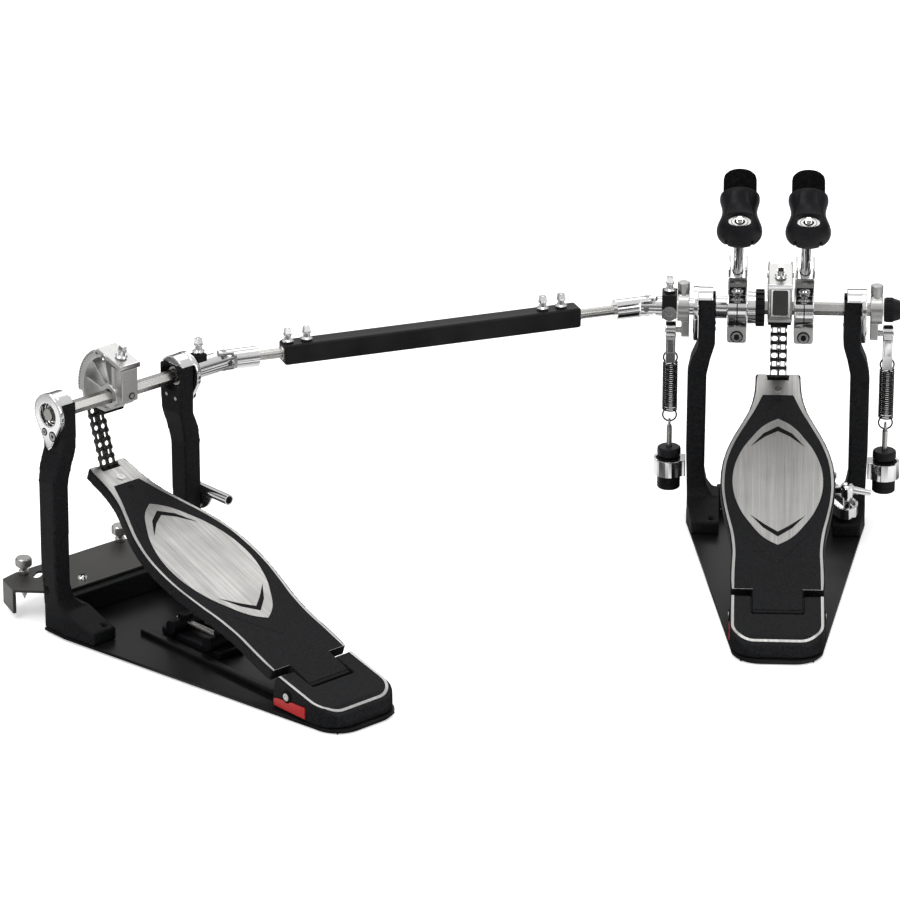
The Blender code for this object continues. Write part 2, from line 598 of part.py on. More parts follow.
# Parts that only one of the pedals has ------------------------------------------------------------
def hoop_clamp(pedal, finishes):
    """Cup-shaped clamp arm on the master's right foot, and its wing bolt."""
    seat = add_frame("hoop_clamp_seat", pedal, (0.0545, -0.0350, 0.0192), (math.radians(15.0), 0, 0))
    far = (-0.0170, 0.0250)
    arm = outline(seat, [stadium((0, 0), far, 0.0090)], 0.0, 0.0105)
    cut(arm, outline(seat, [stadium((0, 0), far, 0.0072)], 0.0025, 0.02))
    keep(arm, "hoop_clamp_arm", finishes["chrome"])

    bolt = cylinder(seat, (0, 0, 0.0028), (0, 0, 0.0270), 0.0027, 16)
    join(bolt, cylinder(seat, (0, 0, 0.0175), (0, 0, 0.0272), 0.0052, 20))
    for side in (-1, 1):
        join(bolt, cylinder(seat, (side * 0.0030, 0, 0.0235), (side * 0.0185, 0, 0.0205), 0.0034, 12,
                            end_radius=0.0022))
    keep(bolt, "clamp_wing_bolt", finishes["chrome"])


def stabiliser_plate(pedal, finishes):
    """Plate on the slave's front bar that reaches out past its left post, with a turned-down end."""
    shape = [(0.0520, 0.0120), (0.0520, 0.0640), (-0.0520, 0.0650), (-0.0660, 0.0620),
             (-0.0735, 0.0400), (-0.0580, 0.0240), (-0.0420, 0.0120)]
    slot = stadium((-0.0440, 0.0490), (-0.0370, 0.0530), 0.0030, 4)
    plate = outline(pedal, [shape, slot], 0.0223, 0.0248)
    edge = [(-0.0735, 0.0400), (-0.0660, 0.0620), (-0.0634, 0.0612), (-0.0708, 0.0395)]
    join(plate, outline(pedal, [edge], 0.0050, 0.0240))
    return keep(plate, "slave_stabiliser_plate", finishes["satin"])


# Assembly -----------------------------------------------------------------------------------------
def standing_parts(pedal, axis, name, left_bore, finishes):
    base_plate(pedal, name, finishes)
    post_frame(pedal, name, finishes)
    for side, word, bore in ((-1, "_left", left_bore), (1, "_right", BORE)):
        bearing_cap(pedal, name + word, side, finishes)
        bearing(axis, name + word, side, bore, finishes)
    heel(pedal, name, finishes)
    hinge_pin(pedal, name, finishes)


def driven_parts(pedal, axis, name, finishes):
    hinge = add_frame(name + "_footboard_hinge", pedal, (0, HINGE_Y, HINGE_Z), (BOARD_SLOPE, 0, 0))
    footboard(hinge, name, finishes)
    cam_wheel(axis, name, finishes)
    cam_clamp(axis, name, finishes)
    chain_on_cam(axis, name, finishes)
    chain_drop(pedal, name, finishes)


def build_master(finishes):
    pedal = add_frame("master_pedal", None, (0, 0, 0))
    axis = add_frame("master_shaft_axis", pedal, (0, 0, SHAFT_HEIGHT))
    standing_parts(pedal, axis, "master", SLEEVE_BORE, finishes)
    driven_parts(pedal, axis, "master", finishes)
    shaft = cylinder(axis, (-0.0440, 0, 0), (0.0795, 0, 0), HEX_CORNER, 6)
    keep(shaft, "master_hex_shaft", finishes["steel"])
    driven_sleeve(axis, finishes)
    beater(axis, "right", 0.0184, BORE, finishes)
    beater(axis, "left", -0.0330, SLEEVE_BORE, finishes)
    spring_lever(axis, "right", 1, BORE, finishes)
    spring_lever(axis, "left", -1, SLEEVE_BORE, finishes)
    spring_set(pedal, "right", 1, 0.1260, 0.0865, finishes)
    spring_set(pedal, "left", -1, 0.1290, 0.0900, finishes)
    knob = [(0.0, 0.0930), (0.0070, 0.0930), (0.0080, 0.0920), (0.0098, 0.0875), (0.0098, 0.0801),
            (0.0, 0.0801)]
    end_knob = turned(axis, knob, turn=(0, math.pi / 2, 0))
    keep(end_knob, "shaft_end_knob", finishes["plastic"])
    joint_yoke(axis, "master", JOINT_MASTER, finishes)
    joint_cross(axis, "master", JOINT_MASTER, finishes)
    hoop_clamp(pedal, finishes)
    return axis


def build_slave(finishes):
    pedal = add_frame("slave_pedal", None, SLAVE_PLACE, (0, 0, SLAVE_TURN))
    axis = add_frame("slave_shaft_axis", pedal, (0, 0, SHAFT_HEIGHT))
    standing_parts(pedal, axis, "slave", BORE, finishes)
    driven_parts(pedal, axis, "slave", finishes)
    shaft = cylinder(axis, (-0.0665, 0, 0), (0.0775, 0, 0), HEX_CORNER, 6)
    keep(shaft, "slave_hex_shaft", finishes["steel"])
    joint_yoke(axis, "slave", JOINT_SLAVE, finishes)
    joint_cross(axis, "slave", JOINT_SLAVE, finishes)
    stabiliser_plate(pedal, finishes)
    return axis


def main():
    clear_scene()
    add_collection(PARTS)
    add_collection(CUTTERS)
    finishes = make_finishes()
    master_axis = build_master(finishes)
    slave_axis = build_slave(finishes)
    link_shaft(master_axis, slave_axis, finishes)


main()
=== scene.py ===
"""Finishes and fine detail for the twin bass drum pedal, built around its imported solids.

Sizes are in millimetres in each pedal's own frame, and a piece is turned into metres in the shared frame
as it is finished. Geometry Nodes make the bolts, screws, knurls, hooks, chain links and coils.
"""

import json
import logging
import math
from dataclasses import dataclass, field, replace
from enum import Enum
from typing import Any, Iterable, Optional, Sequence

import bmesh
import bpy
from mathutils import Matrix, Vector


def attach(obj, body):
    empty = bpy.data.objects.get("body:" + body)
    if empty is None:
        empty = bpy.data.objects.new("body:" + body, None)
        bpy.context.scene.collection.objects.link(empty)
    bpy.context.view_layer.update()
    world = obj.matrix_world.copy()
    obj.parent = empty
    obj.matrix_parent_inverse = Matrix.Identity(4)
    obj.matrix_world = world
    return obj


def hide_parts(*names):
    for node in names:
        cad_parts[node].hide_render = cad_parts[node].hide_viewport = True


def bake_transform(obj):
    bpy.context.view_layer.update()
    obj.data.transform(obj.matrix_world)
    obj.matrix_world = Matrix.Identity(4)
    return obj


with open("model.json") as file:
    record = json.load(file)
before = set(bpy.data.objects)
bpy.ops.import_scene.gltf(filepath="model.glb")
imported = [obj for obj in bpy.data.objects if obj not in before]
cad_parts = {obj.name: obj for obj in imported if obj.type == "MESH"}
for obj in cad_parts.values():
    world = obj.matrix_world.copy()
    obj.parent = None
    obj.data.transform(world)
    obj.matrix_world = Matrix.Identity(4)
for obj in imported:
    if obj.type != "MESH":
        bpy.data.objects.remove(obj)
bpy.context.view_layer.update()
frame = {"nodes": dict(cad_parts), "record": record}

LOG = logging.getLogger("pedal")
Point = tuple[float, float, float]
Flat = tuple[float, float]
Colour = tuple[float, float, float]

METRES = 0.001
WELD = 0.002
FLAT_ANGLE = math.radians(0.6)
EDGE_ANGLE = math.radians(28.0)
CREASE_ANGLE = math.radians(34)
SHAFT_HEIGHT = 175.3
SLAVE_TURN = math.radians(44.7)
LINK_TURN = math.radians(22.774)
BOARD_SLOPE = math.radians(19.55)
ROD_LEAN = math.radians(42.0)
CHAIN_RADIUS = 35.5
CHAIN_TOE = (14.5, 113.0)


def shift(x: float = 0.0, y: float = 0.0, z: float = 0.0) -> Matrix:
    """A move by x, y and z."""
    return Matrix.Translation((x, y, z))


def turn(degrees: float, axis: str) -> Matrix:
    """A turn about one axis, in degrees."""
    return Matrix.Rotation(math.radians(degrees), 4, axis)


class Place(Enum):
    """Where each pedal, and the shaft between them, stands."""

    MASTER = Matrix.Identity(4)
    SLAVE = Matrix.Translation((-491.0, -204.0, 0.0)) @ Matrix.Rotation(SLAVE_TURN, 4, "Z")
    LINK = Matrix.Translation((-418.924, -132.676, SHAFT_HEIGHT)) @ Matrix.Rotation(LINK_TURN, 4, "Z")


class Plane(Enum):
    """How a flat outline's two directions and its thickness lie."""

    XY = Matrix.Identity(4)
    YZ = Matrix(((0, 0, 1, 0), (1, 0, 0, 0), (0, 1, 0, 0), (0, 0, 0, 1)))
    XZ = Matrix(((1, 0, 0, 0), (0, 0, -1, 0), (0, 1, 0, 0), (0, 0, 0, 1)))


# Node graphs --------------------------------------------------------------------------------------
@dataclass
class Port:
    """A node's output, which takes part in arithmetic."""

    graph: "Graph"
    socket: Any

    def _maths(self, operation: str, first: Any, second: Any) -> "Port":
        """A Math node on two values."""
        return self.graph.node("ShaderNodeMath", {"operation": operation}, {0: first, 1: second})

    def __add__(self, other: Any) -> "Port":
        """The sum."""
        return self._maths("ADD", self, other)

    __radd__ = __add__

    def __sub__(self, other: Any) -> "Port":
        """The difference."""
        return self._maths("SUBTRACT", self, other)

    def __rsub__(self, other: Any) -> "Port":
        """The difference, from a number."""
        return self._maths("SUBTRACT", other, self)

    def __mul__(self, other: Any) -> "Port":
        """The product."""
        return self._maths("MULTIPLY", self, other)

    __rmul__ = __mul__

    def __pow__(self, other: Any) -> "Port":
        """The power."""
        return self._maths("POWER", self, other)


class Graph:
    """A node tree under construction."""

    def __init__(self, tree: bpy.types.NodeTree) -> None:
        """Keeps the tree.

        Args:
            tree: The shader or geometry tree to fill.
        """
        self.tree = tree

    def node(self, kind: str, settings: Optional[dict] = None, inputs: Optional[dict] = None,
             output: Any = 0) -> Port:
        """Adds a node.

        Args:
            kind: The node's type.
            settings: Attributes set first; "stops" fills a colour ramp.
            inputs: Values, ports or lists of ports by socket name or number.
            output: Which output to return.

        Returns:
            The chosen output.
        """
        made = self.tree.nodes.new(kind)
        for key, value in (settings or {}).items():
            if key == "stops":
                self._fill_ramp(made.color_ramp, value)
            else:
                setattr(made, key, value)
        for key, value in (inputs or {}).items():
            for one in value if isinstance(value, list) else [value]:
                if isinstance(one, Port):
                    self.tree.links.new(one.socket, made.inputs[key])
                else:
                    made.inputs[key].default_value = one
        return Port(self, made.outputs[output])

    @staticmethod
    def _fill_ramp(ramp: bpy.types.ColorRamp, stops: Sequence[tuple[float, float]]) -> None:
        """Sets a ramp's stops from (place, grey) pairs."""
        while len(ramp.elements) < len(stops):
            ramp.elements.new(0.5)
        for element, (place, grey) in zip(ramp.elements, stops):
            element.position = place
            element.color = (grey, grey, grey, 1.0)


# Finishes -----------------------------------------------------------------------------------------
@dataclass(frozen=True)
class Finish:
    """A surface with slow patches of a second colour and a fine grain."""

    name: str
    slot: Optional[str]
    colour: Colour
    patch_colour: Colour
    roughness: float
    roughness_spread: float = 0.10
    metallic: float = 0.0
    patches: float = 40.0
    grain: float = 1500.0
    grain_height: float = 0.00002
    coat: float = 0.0
    specular: float = 0.5
    grain_share: float = 0.3
    turned: float = 0.0
    stretch: Point = (1.0, 1.0, 1.0)

    def relief(self, graph: Graph, spot: Port) -> Port:
        """The grain's height, from 0 to 1."""
        return graph.node("ShaderNodeTexNoise", {}, {"Vector": spot, "Scale": self.grain, "Detail": 3.0})

    def material(self) -> bpy.types.Material:
        """The Blender material, made once.

        Returns:
            The material for this finish.
        """
        found = bpy.data.materials.get(self.name)
        if found:
            return found
        made = bpy.data.materials.new(self.name)
        made.use_nodes = True
        graph = Graph(made.node_tree)
        shader = made.node_tree.nodes["Principled BSDF"]
        shader.inputs["Metallic"].default_value = self.metallic
        shader.inputs["Coat Weight"].default_value = self.coat
        shader.inputs["Specular IOR Level"].default_value = self.specular
        where = graph.node("ShaderNodeTexCoord", output="Object")
        spun = graph.node("ShaderNodeVectorRotate", {"rotation_type": "Z_AXIS"},
                          {"Vector": where, "Angle": -self.turned})
        spot = graph.node("ShaderNodeVectorMath", {"operation": "MULTIPLY"}, {0: spun, 1: self.stretch})
        patch = graph.node("ShaderNodeTexNoise", {},
                           {"Vector": where, "Scale": self.patches, "Detail": 5.0})
        mask = graph.node("ShaderNodeValToRGB", {"stops": ((0.35, 0.0), (0.7, 1.0))}, {"Fac": patch})
        grain = self.relief(graph, spot)
        share = mask * (1.0 - self.grain_share) + grain * self.grain_share
        colour = graph.node("ShaderNodeMix", {"data_type": "RGBA"},
                            {0: share, 6: (*self.colour, 1), 7: (*self.patch_colour, 1)}, output=2)
        links = made.node_tree.links
        links.new(colour.socket, shader.inputs["Base Color"])
        links.new((patch * self.roughness_spread + (grain - 0.5) * self.roughness_spread
                   + (self.roughness - self.roughness_spread * 0.5)).socket, shader.inputs["Roughness"])
        bump = graph.node("ShaderNodeBump", {}, {"Height": grain, "Strength": 1.0,
                                                 "Distance": self.grain_height})
        links.new(bump.socket, shader.inputs["Normal"])
        return made


@dataclass(frozen=True)
class PowderCoat(Finish):
    """Fine wrinkled paint: rounded grains packed closely."""

    def relief(self, graph: Graph, spot: Port) -> Port:
        """Rounded grains with noise over them."""
        cells = graph.node("ShaderNodeTexVoronoi", {"feature": "SMOOTH_F1"},
                           {"Vector": spot, "Scale": self.grain, "Smoothness": 0.6})
        noise = graph.node("ShaderNodeTexNoise", {}, {"Vector": spot, "Scale": self.grain * 0.6,
                                                      "Detail": 2.0})
        return (1.0 - cells) * 0.6 + noise * 0.4


@dataclass(frozen=True)
class Brushed(Finish):
    """Metal with long fine lines in one direction, and a few deeper ones."""

    def relief(self, graph: Graph, spot: Port) -> Port:
        """Fine lines and coarse lines added."""
        fine = graph.node("ShaderNodeTexNoise", {}, {"Vector": spot, "Scale": self.grain, "Detail": 4.0})
        deep = graph.node("ShaderNodeTexNoise", {}, {"Vector": spot, "Scale": self.grain * 0.22,
                                                     "Detail": 2.0})
        return (fine * 0.6 + deep * 0.4 - 0.5) * 3.0 + 0.5


POWDER = PowderCoat("textured_powder_coat", "black_powder_coat", (0.0035, 0.0036, 0.0042),
                    (0.015, 0.0155, 0.017), 0.56, 0.16, grain=1300.0, grain_height=0.00012, patches=620.0,
                    specular=0.09)
SATIN = Finish("satin_black_enamel", "satin_black_steel", (0.004, 0.004, 0.0045), (0.012, 0.012, 0.013),
               0.36, 0.10, grain=1100.0, grain_height=0.000010, coat=0.02, specular=0.16)
PLATE_GREY = Finish("satin_grey_enamel", "satin_black_steel", (0.036, 0.035, 0.032),
                    (0.055, 0.053, 0.049), 0.42, 0.12, metallic=0.4, grain=1100.0, grain_height=0.000012)
CHROME = Finish("polished_chrome", "chrome_plate", (0.82, 0.82, 0.82), (0.74, 0.74, 0.75), 0.10, 0.06,
                metallic=1.0, grain=420.0, grain_height=0.000004)
SOFT_CHROME = Finish("satin_chrome", "chrome_plate", (0.62, 0.61, 0.60), (0.50, 0.50, 0.49), 0.30, 0.12,
                     metallic=1.0, grain=900.0, grain_height=0.000008)
CAST = Finish("fine_cast_aluminium", "cast_aluminium", (0.74, 0.74, 0.73), (0.58, 0.58, 0.57), 0.34, 0.16,
              metallic=1.0, grain=1400.0, grain_height=0.00004)
STEEL = Finish("ground_steel", "bright_steel", (0.60, 0.59, 0.57), (0.44, 0.43, 0.41), 0.26, 0.12,
               metallic=1.0, grain=1600.0, grain_height=0.000012)
PLASTIC = Finish("moulded_black_plastic", "black_plastic", (0.005, 0.005, 0.006), (0.013, 0.013, 0.015),
                 0.36, 0.10, grain=1800.0, grain_height=0.00001, specular=0.12)
RUBBER = Finish("black_rubber", "black_plastic", (0.003, 0.003, 0.003), (0.009, 0.009, 0.009), 0.70, 0.10,
                grain=2200.0, grain_height=0.00003, specular=0.1)
FELT = PowderCoat("pressed_black_felt", "black_felt", (0.002, 0.002, 0.002), (0.008, 0.008, 0.008), 0.95,
                  0.05, grain=1500.0, grain_height=0.0004, patches=260.0, specular=0.02)
CHAIN = Finish("blackened_chain_steel", "black_steel_parts", (0.012, 0.012, 0.013), (0.060, 0.058, 0.055),
               0.28, 0.14, metallic=0.7, patches=420.0, grain=1600.0, grain_height=0.000014)
RED = Finish("red_plastic", None, (0.42, 0.015, 0.015), (0.34, 0.010, 0.010), 0.32, 0.08, grain=1500.0,
             grain_height=0.00001)
BRUSHED = Brushed("brushed_aluminium", "cast_aluminium", (0.56, 0.555, 0.54), (0.32, 0.315, 0.305), 0.36,
                  0.16, metallic=1.0, grain=1300.0, grain_height=0.00001, grain_share=0.75,
                  stretch=(1.0, 0.016, 0.016))
BRUSHED_TURNED = replace(BRUSHED, name="brushed_aluminium_turned", turned=SLAVE_TURN)


# Solids -------------------------------------------------------------------------------------------
def arc(centre: Flat, radius: float, first: float, last: float, steps: int = 12) -> list[Flat]:
    """Points on an arc.

    Args:
        centre: The arc's centre.
        radius: Its radius.
        first: The first angle in degrees.
        last: The last angle in degrees.
        steps: How many steps it takes.

    Returns:
        The points, first to last.
    """
    angles = [math.radians(first + (last - first) * i / steps) for i in range(steps + 1)]
    return [(centre[0] + radius * math.cos(a), centre[1] + radius * math.sin(a)) for a in angles]


def curve_through(points: Sequence[Sequence[float]], steps: int = 6) -> list[tuple]:
    """A smooth line through points (Catmull-Rom)."""
    ends = [points[0], *points, points[-1]]
    found = []
    for i in range(1, len(ends) - 2):
        p0, p1, p2, p3 = (Vector(p) for p in ends[i - 1:i + 3])
        for j in range(steps):
            t = j / steps
            found.append(tuple(0.5 * (2 * p1 + (p2 - p0) * t + (2 * p0 - 5 * p1 + 4 * p2 - p3) * t * t
                                      + (3 * p1 - p0 - 3 * p2 + p3) * t ** 3)))
    return found + [tuple(points[-1])]


def both_sides(half: Sequence[Flat]) -> list[Flat]:
    """A closed outline from its right-hand half."""
    return list(half) + [(-x, y) for x, y in reversed(half) if x > 1e-6]


def span(side: int, inner: float, outer: float) -> list[float]:
    """The low and high ends of a stretch on one side of the middle."""
    return sorted((side * inner, side * outer))


def loose_object(mesh: bpy.types.Mesh, name: str = "helper") -> bpy.types.Object:
    """A scene object for a mesh."""
    made = bpy.data.objects.new(name, mesh)
    bpy.context.scene.collection.objects.link(made)
    return made


def evaluated_mesh(source: bpy.types.Object) -> bpy.types.Mesh:
    """The mesh that an object's modifiers make."""
    graph = bpy.context.evaluated_depsgraph_get()
    return bpy.data.meshes.new_from_object(source.evaluated_get(graph))


class Solid:
    """One closed shape, in millimetres."""

    def __init__(self, bm: bmesh.types.BMesh) -> None:
        """Keeps the mesh with its faces turned outwards."""
        bmesh.ops.recalc_face_normals(bm, faces=bm.faces)
        self.bm = bm

    @classmethod
    def block(cls, low: Point, high: Point) -> "Solid":
        """A box between two corners."""
        low, high = Vector(low), Vector(high)
        bm = bmesh.new()
        size = Matrix.Diagonal((*(high - low), 1.0))
        bmesh.ops.create_cube(bm, size=1.0, matrix=Matrix.Translation((low + high) / 2) @ size)
        return cls(bm)

    @classmethod
    def rod(cls, start: Point, end: Point, radius: float, end_radius: Optional[float] = None,
            sides: int = 32) -> "Solid":
        """A round bar or cone between two points."""
        start, end = Vector(start), Vector(end)
        along = end - start
        spin = Vector((0, 0, 1)).rotation_difference(along).to_matrix().to_4x4()
        bm = bmesh.new()
        bmesh.ops.create_cone(bm, cap_ends=True, segments=sides, radius1=radius,
                              radius2=radius if end_radius is None else end_radius, depth=along.length,
                              matrix=Matrix.Translation((start + end) / 2) @ spin)
        return cls(bm)

    @classmethod
    def lathe(cls, profile: Sequence[Flat], steps: int = 48, ring: bool = False) -> "Solid":
        """A profile of (radius, height) spun about Z.

        Args:
            profile: The points, each a radius and a height.
            steps: How many sides the turn has.
            ring: True for a closed profile round a bore.

        Returns:
            The closed solid.
        """
        bm = bmesh.new()
        rows = []
        for radius, height in profile:
            if radius < 1e-6:
                rows.append([bm.verts.new((0, 0, height))])
                continue
            angles = [2 * math.pi * i / steps for i in range(steps)]
            rows.append([bm.verts.new((radius * math.cos(a), radius * math.sin(a), height))
                         for a in angles])
        pairs = list(zip(rows, rows[1:] + rows[:1])) if ring else list(zip(rows, rows[1:]))
        for low, high in pairs:
            for i in range(steps):
                j = (i + 1) % steps
                corners = [low[i % len(low)], low[j % len(low)], high[j % len(high)], high[i % len(high)]]
                corners = list(dict.fromkeys(corners))
                if len(corners) > 2:
                    bm.faces.new(corners)
        if not ring:
            for row in (rows[0], rows[-1]):
                if len(row) > 2:
                    bm.faces.new(row)
        return cls(bm)

    @classmethod
    def slab(cls, outline: Sequence[Flat], low: float, high: float, plane: Plane = Plane.XY) -> "Solid":
        """An outline given a thickness from low to high."""
        bm = bmesh.new()
        base = [bm.verts.new((u, v, low)) for u, v in outline]
        top = [bm.verts.new((u, v, high)) for u, v in outline]
        bm.faces.new(base)
        bm.faces.new(top)
        for i in range(len(base)):
            j = (i + 1) % len(base)
            bm.faces.new((base[i], base[j], top[j], top[i]))
        bmesh.ops.transform(bm, matrix=plane.value, verts=bm.verts)
        return cls(bm)

    @classmethod
    def sweep(cls, path: Sequence[Point], radius: float, sides: int = 12) -> "Solid":
        """A round wire along a path, with flat ends."""
        bm = bmesh.new()
        points = [Vector(p) for p in path]
        side = None
        rows = []
        for i, point in enumerate(points):
            along = (points[min(i + 1, len(points) - 1)] - points[max(i - 1, 0)]).normalized()
            if side is None:
                side = along.orthogonal().normalized()
            side = (side - along * side.dot(along)).normalized()
            across = along.cross(side)
            rows.append([bm.verts.new(point + radius * (side * math.cos(a) + across * math.sin(a)))
                         for a in (2 * math.pi * k / sides for k in range(sides))])
        for low, high in zip(rows, rows[1:]):
            for k in range(sides):
                bm.faces.new((low[k], low[(k + 1) % sides], high[(k + 1) % sides], high[k]))
        bm.faces.new(rows[0])
        bm.faces.new(rows[-1])
        return cls(bm)

    @classmethod
    def packed(cls, node: str, place: Matrix) -> "Solid":
        """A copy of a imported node, in a pedal's own frame."""
        bm = bmesh.new()
        bm.from_mesh(frame["nodes"][node].data)
        to_local = place.inverted() @ Matrix.Scale(1 / METRES, 4)
        bmesh.ops.transform(bm, matrix=to_local, verts=bm.verts)
        bmesh.ops.remove_doubles(bm, verts=bm.verts, dist=WELD)
        return cls(bm).tidy()

    def tidy(self) -> "Solid":
        """Joins triangles that lie in one plane."""
        bmesh.ops.dissolve_limit(self.bm, angle_limit=FLAT_ANGLE, verts=self.bm.verts,
                                 edges=self.bm.edges)
        return self

    def moved(self, matrix: Matrix) -> "Solid":
        """The same shape, moved."""
        bmesh.ops.transform(self.bm, matrix=matrix, verts=self.bm.verts)
        return self

    def edged(self, width: float, segments: int = 2) -> "Solid":
        """Rounds the sharp edges."""
        sharp = [e for e in self.bm.edges
                 if len(e.link_faces) == 2 and e.calc_face_angle(0.0) > EDGE_ANGLE]
        bmesh.ops.bevel(self.bm, geom=sharp, offset=width, segments=segments, profile=0.5,
                        affect="EDGES", clamp_overlap=True)
        return self

    def as_object(self) -> bpy.types.Object:
        """A scene object of this shape."""
        mesh = bpy.data.meshes.new("solid")
        self.bm.to_mesh(mesh)
        return loose_object(mesh)

    def combined(self, operation: str, others: Iterable["Solid"]) -> "Solid":
        """This shape cut by, joined to or kept within others.

        Args:
            operation: DIFFERENCE, UNION or INTERSECT.
            others: The other shapes.

        Returns:
            The result.
        """
        base = self.as_object()
        tools = [other.as_object() for other in others]
        for tool in tools:
            change = base.modifiers.new("change", "BOOLEAN")
            change.operation = operation
            change.solver = "EXACT"
            change.object = tool
        bm = bmesh.new()
        bm.from_mesh(evaluated_mesh(base))
        for helper in [base, *tools]:
            bpy.data.objects.remove(helper, do_unlink=True)
        bmesh.ops.remove_doubles(bm, verts=bm.verts, dist=WELD / 2)
        return Solid(bm).tidy()

    def cut(self, *others: "Solid") -> "Solid":
        """This shape with others taken away."""
        return self.combined("DIFFERENCE", others)

    def joined(self, *others: "Solid") -> "Solid":
        """This shape and others as one."""
        return self.combined("UNION", others)

    def within(self, *others: "Solid") -> "Solid":
        """What this shape shares with others."""
        return self.combined("INTERSECT", others)


class Piece:
    """A visible piece made of several shapes."""

    def __init__(self, name: str, place: Matrix) -> None:
        """Starts an empty piece.

        Args:
            name: The piece's name.
            place: The pedal's place, in millimetres.
        """
        self.name = name
        self.place = place
        self.bm = bmesh.new()
        self.finishes: list[Finish] = []

    def add(self, solid: Solid, finish: Finish, where: Optional[Matrix] = None) -> "Piece":
        """Adds a shape in one finish."""
        if where is not None:
            solid.moved(where)
        return self.add_mesh_data(solid.bm, finish)

    def add_mesh_data(self, bm: bmesh.types.BMesh, finish: Finish) -> "Piece":
        """Adds faces in one finish."""
        if finish not in self.finishes:
            self.finishes.append(finish)
        mesh = bpy.data.meshes.new("part")
        bm.to_mesh(mesh)
        before = len(self.bm.faces)
        self.bm.from_mesh(mesh)
        self.bm.faces.ensure_lookup_table()
        for face in self.bm.faces[before:]:
            face.material_index = self.finishes.index(finish)
            face.smooth = True
        bpy.data.meshes.remove(mesh)
        return self

    def add_mesh(self, mesh: bpy.types.Mesh, finish: Finish) -> "Piece":
        """Adds a mesh that is already in metres in the shared frame."""
        bm = bmesh.new()
        bm.from_mesh(mesh)
        bmesh.ops.transform(bm, matrix=self.place.inverted() @ Matrix.Scale(1 / METRES, 4), verts=bm.verts)
        return self.add_mesh_data(bm, finish)

    def rest(self, *replaced: str) -> bpy.types.Object:
        """Makes the object, with its place in its mesh.

        Args:
            replaced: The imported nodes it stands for.

        Returns:
            The object, which rides on nothing yet.
        """
        bmesh.ops.transform(self.bm, matrix=Matrix.Scale(METRES, 4) @ self.place, verts=self.bm.verts)
        mesh = bpy.data.meshes.new(self.name)
        self.bm.to_mesh(mesh)
        for finish in self.finishes:
            mesh.materials.append(finish.material())
        mesh.set_sharp_from_angle(angle=CREASE_ANGLE)
        made = loose_object(mesh, self.name)
        weighed = made.modifiers.new("weighed", "WEIGHTED_NORMAL")
        weighed.keep_sharp = True
        made.data = evaluated_mesh(made)
        made.modifiers.remove(weighed)
        made.data.name = self.name
        if replaced:
            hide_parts(*replaced)
        LOG.info("%s: %d faces", self.name, len(mesh.polygons))
        return made

    def ride(self, body: str, *replaced: str) -> bpy.types.Object:
        """Makes the object and lets it ride on a body."""
        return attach(self.rest(*replaced), body)


# Repeated things ----------------------------------------------------------------------------------
@dataclass
class Pattern:
    """A Geometry Nodes tree with named inputs."""

    name: str
    sizes: dict[str, float]

    def fill(self, graph: Graph, start: Port, size: dict[str, Port]) -> Port:
        """Builds the tree's middle and returns its geometry."""
        raise NotImplementedError

    def tree(self) -> bpy.types.NodeTree:
        """The tree, made once, ending in Realize Instances and Set Material."""
        found = bpy.data.node_groups.get(self.name)
        if found:
            return found
        tree = bpy.data.node_groups.new(self.name, "GeometryNodeTree")
        tree.interface.new_socket("Geometry", in_out="INPUT", socket_type="NodeSocketGeometry")
        for key in self.sizes:
            tree.interface.new_socket(key, in_out="INPUT", socket_type="NodeSocketFloat")
        tree.interface.new_socket("Finish", in_out="INPUT", socket_type="NodeSocketMaterial")
        tree.interface.new_socket("Geometry", in_out="OUTPUT", socket_type="NodeSocketGeometry")
        graph = Graph(tree)
        source = tree.nodes.new("NodeGroupInput")
        ports = {key: Port(graph, source.outputs[key]) for key in [*self.sizes, "Geometry", "Finish"]}
        shape = self.fill(graph, ports["Geometry"], ports)
        solid = graph.node("GeometryNodeRealizeInstances", {}, {"Geometry": shape})
        dressed = graph.node("GeometryNodeSetMaterial", {}, {"Geometry": solid,
                                                             "Material": ports["Finish"]})
        end = tree.nodes.new("NodeGroupOutput")
        tree.links.new(dressed.socket, end.inputs["Geometry"])
        return tree

    def grow(self, mesh: bpy.types.Mesh, finish: Finish, place: Matrix) -> bpy.types.Mesh:
        """Runs the tree on a mesh.

        Args:
            mesh: The points or path, in metres in the local frame.
            finish: The finish of what grows.
            place: The local frame's place, in millimetres.

        Returns:
            A plain mesh in metres in the shared frame.
        """
        helper = loose_object(mesh)
        modifier = helper.modifiers.new(self.name, "NODES")
        modifier.node_group = self.tree()
        for item in modifier.node_group.interface.items_tree:
            if item.in_out == "INPUT" and item.name in self.sizes:
                modifier[item.identifier] = float(self.sizes[item.name])
            if item.in_out == "INPUT" and item.name == "Finish":
                modifier[item.identifier] = finish.material()
        grown = evaluated_mesh(helper)
        helper.modifiers.remove(modifier)
        bpy.data.objects.remove(helper, do_unlink=True)
        metres = place.copy()
        metres.translation *= METRES
        grown.transform(metres)
        return grown


def point_mesh(points: Sequence[Point], joined: bool = False) -> bpy.types.Mesh:
    """A mesh in metres of loose points in millimetres, or of points joined in a line."""
    mesh = bpy.data.meshes.new("points")
    edges = [(i, i + 1) for i in range(len(points) - 1)] if joined else []
    mesh.from_pydata([tuple(c * METRES for c in point) for point in points], edges, [])
    return mesh


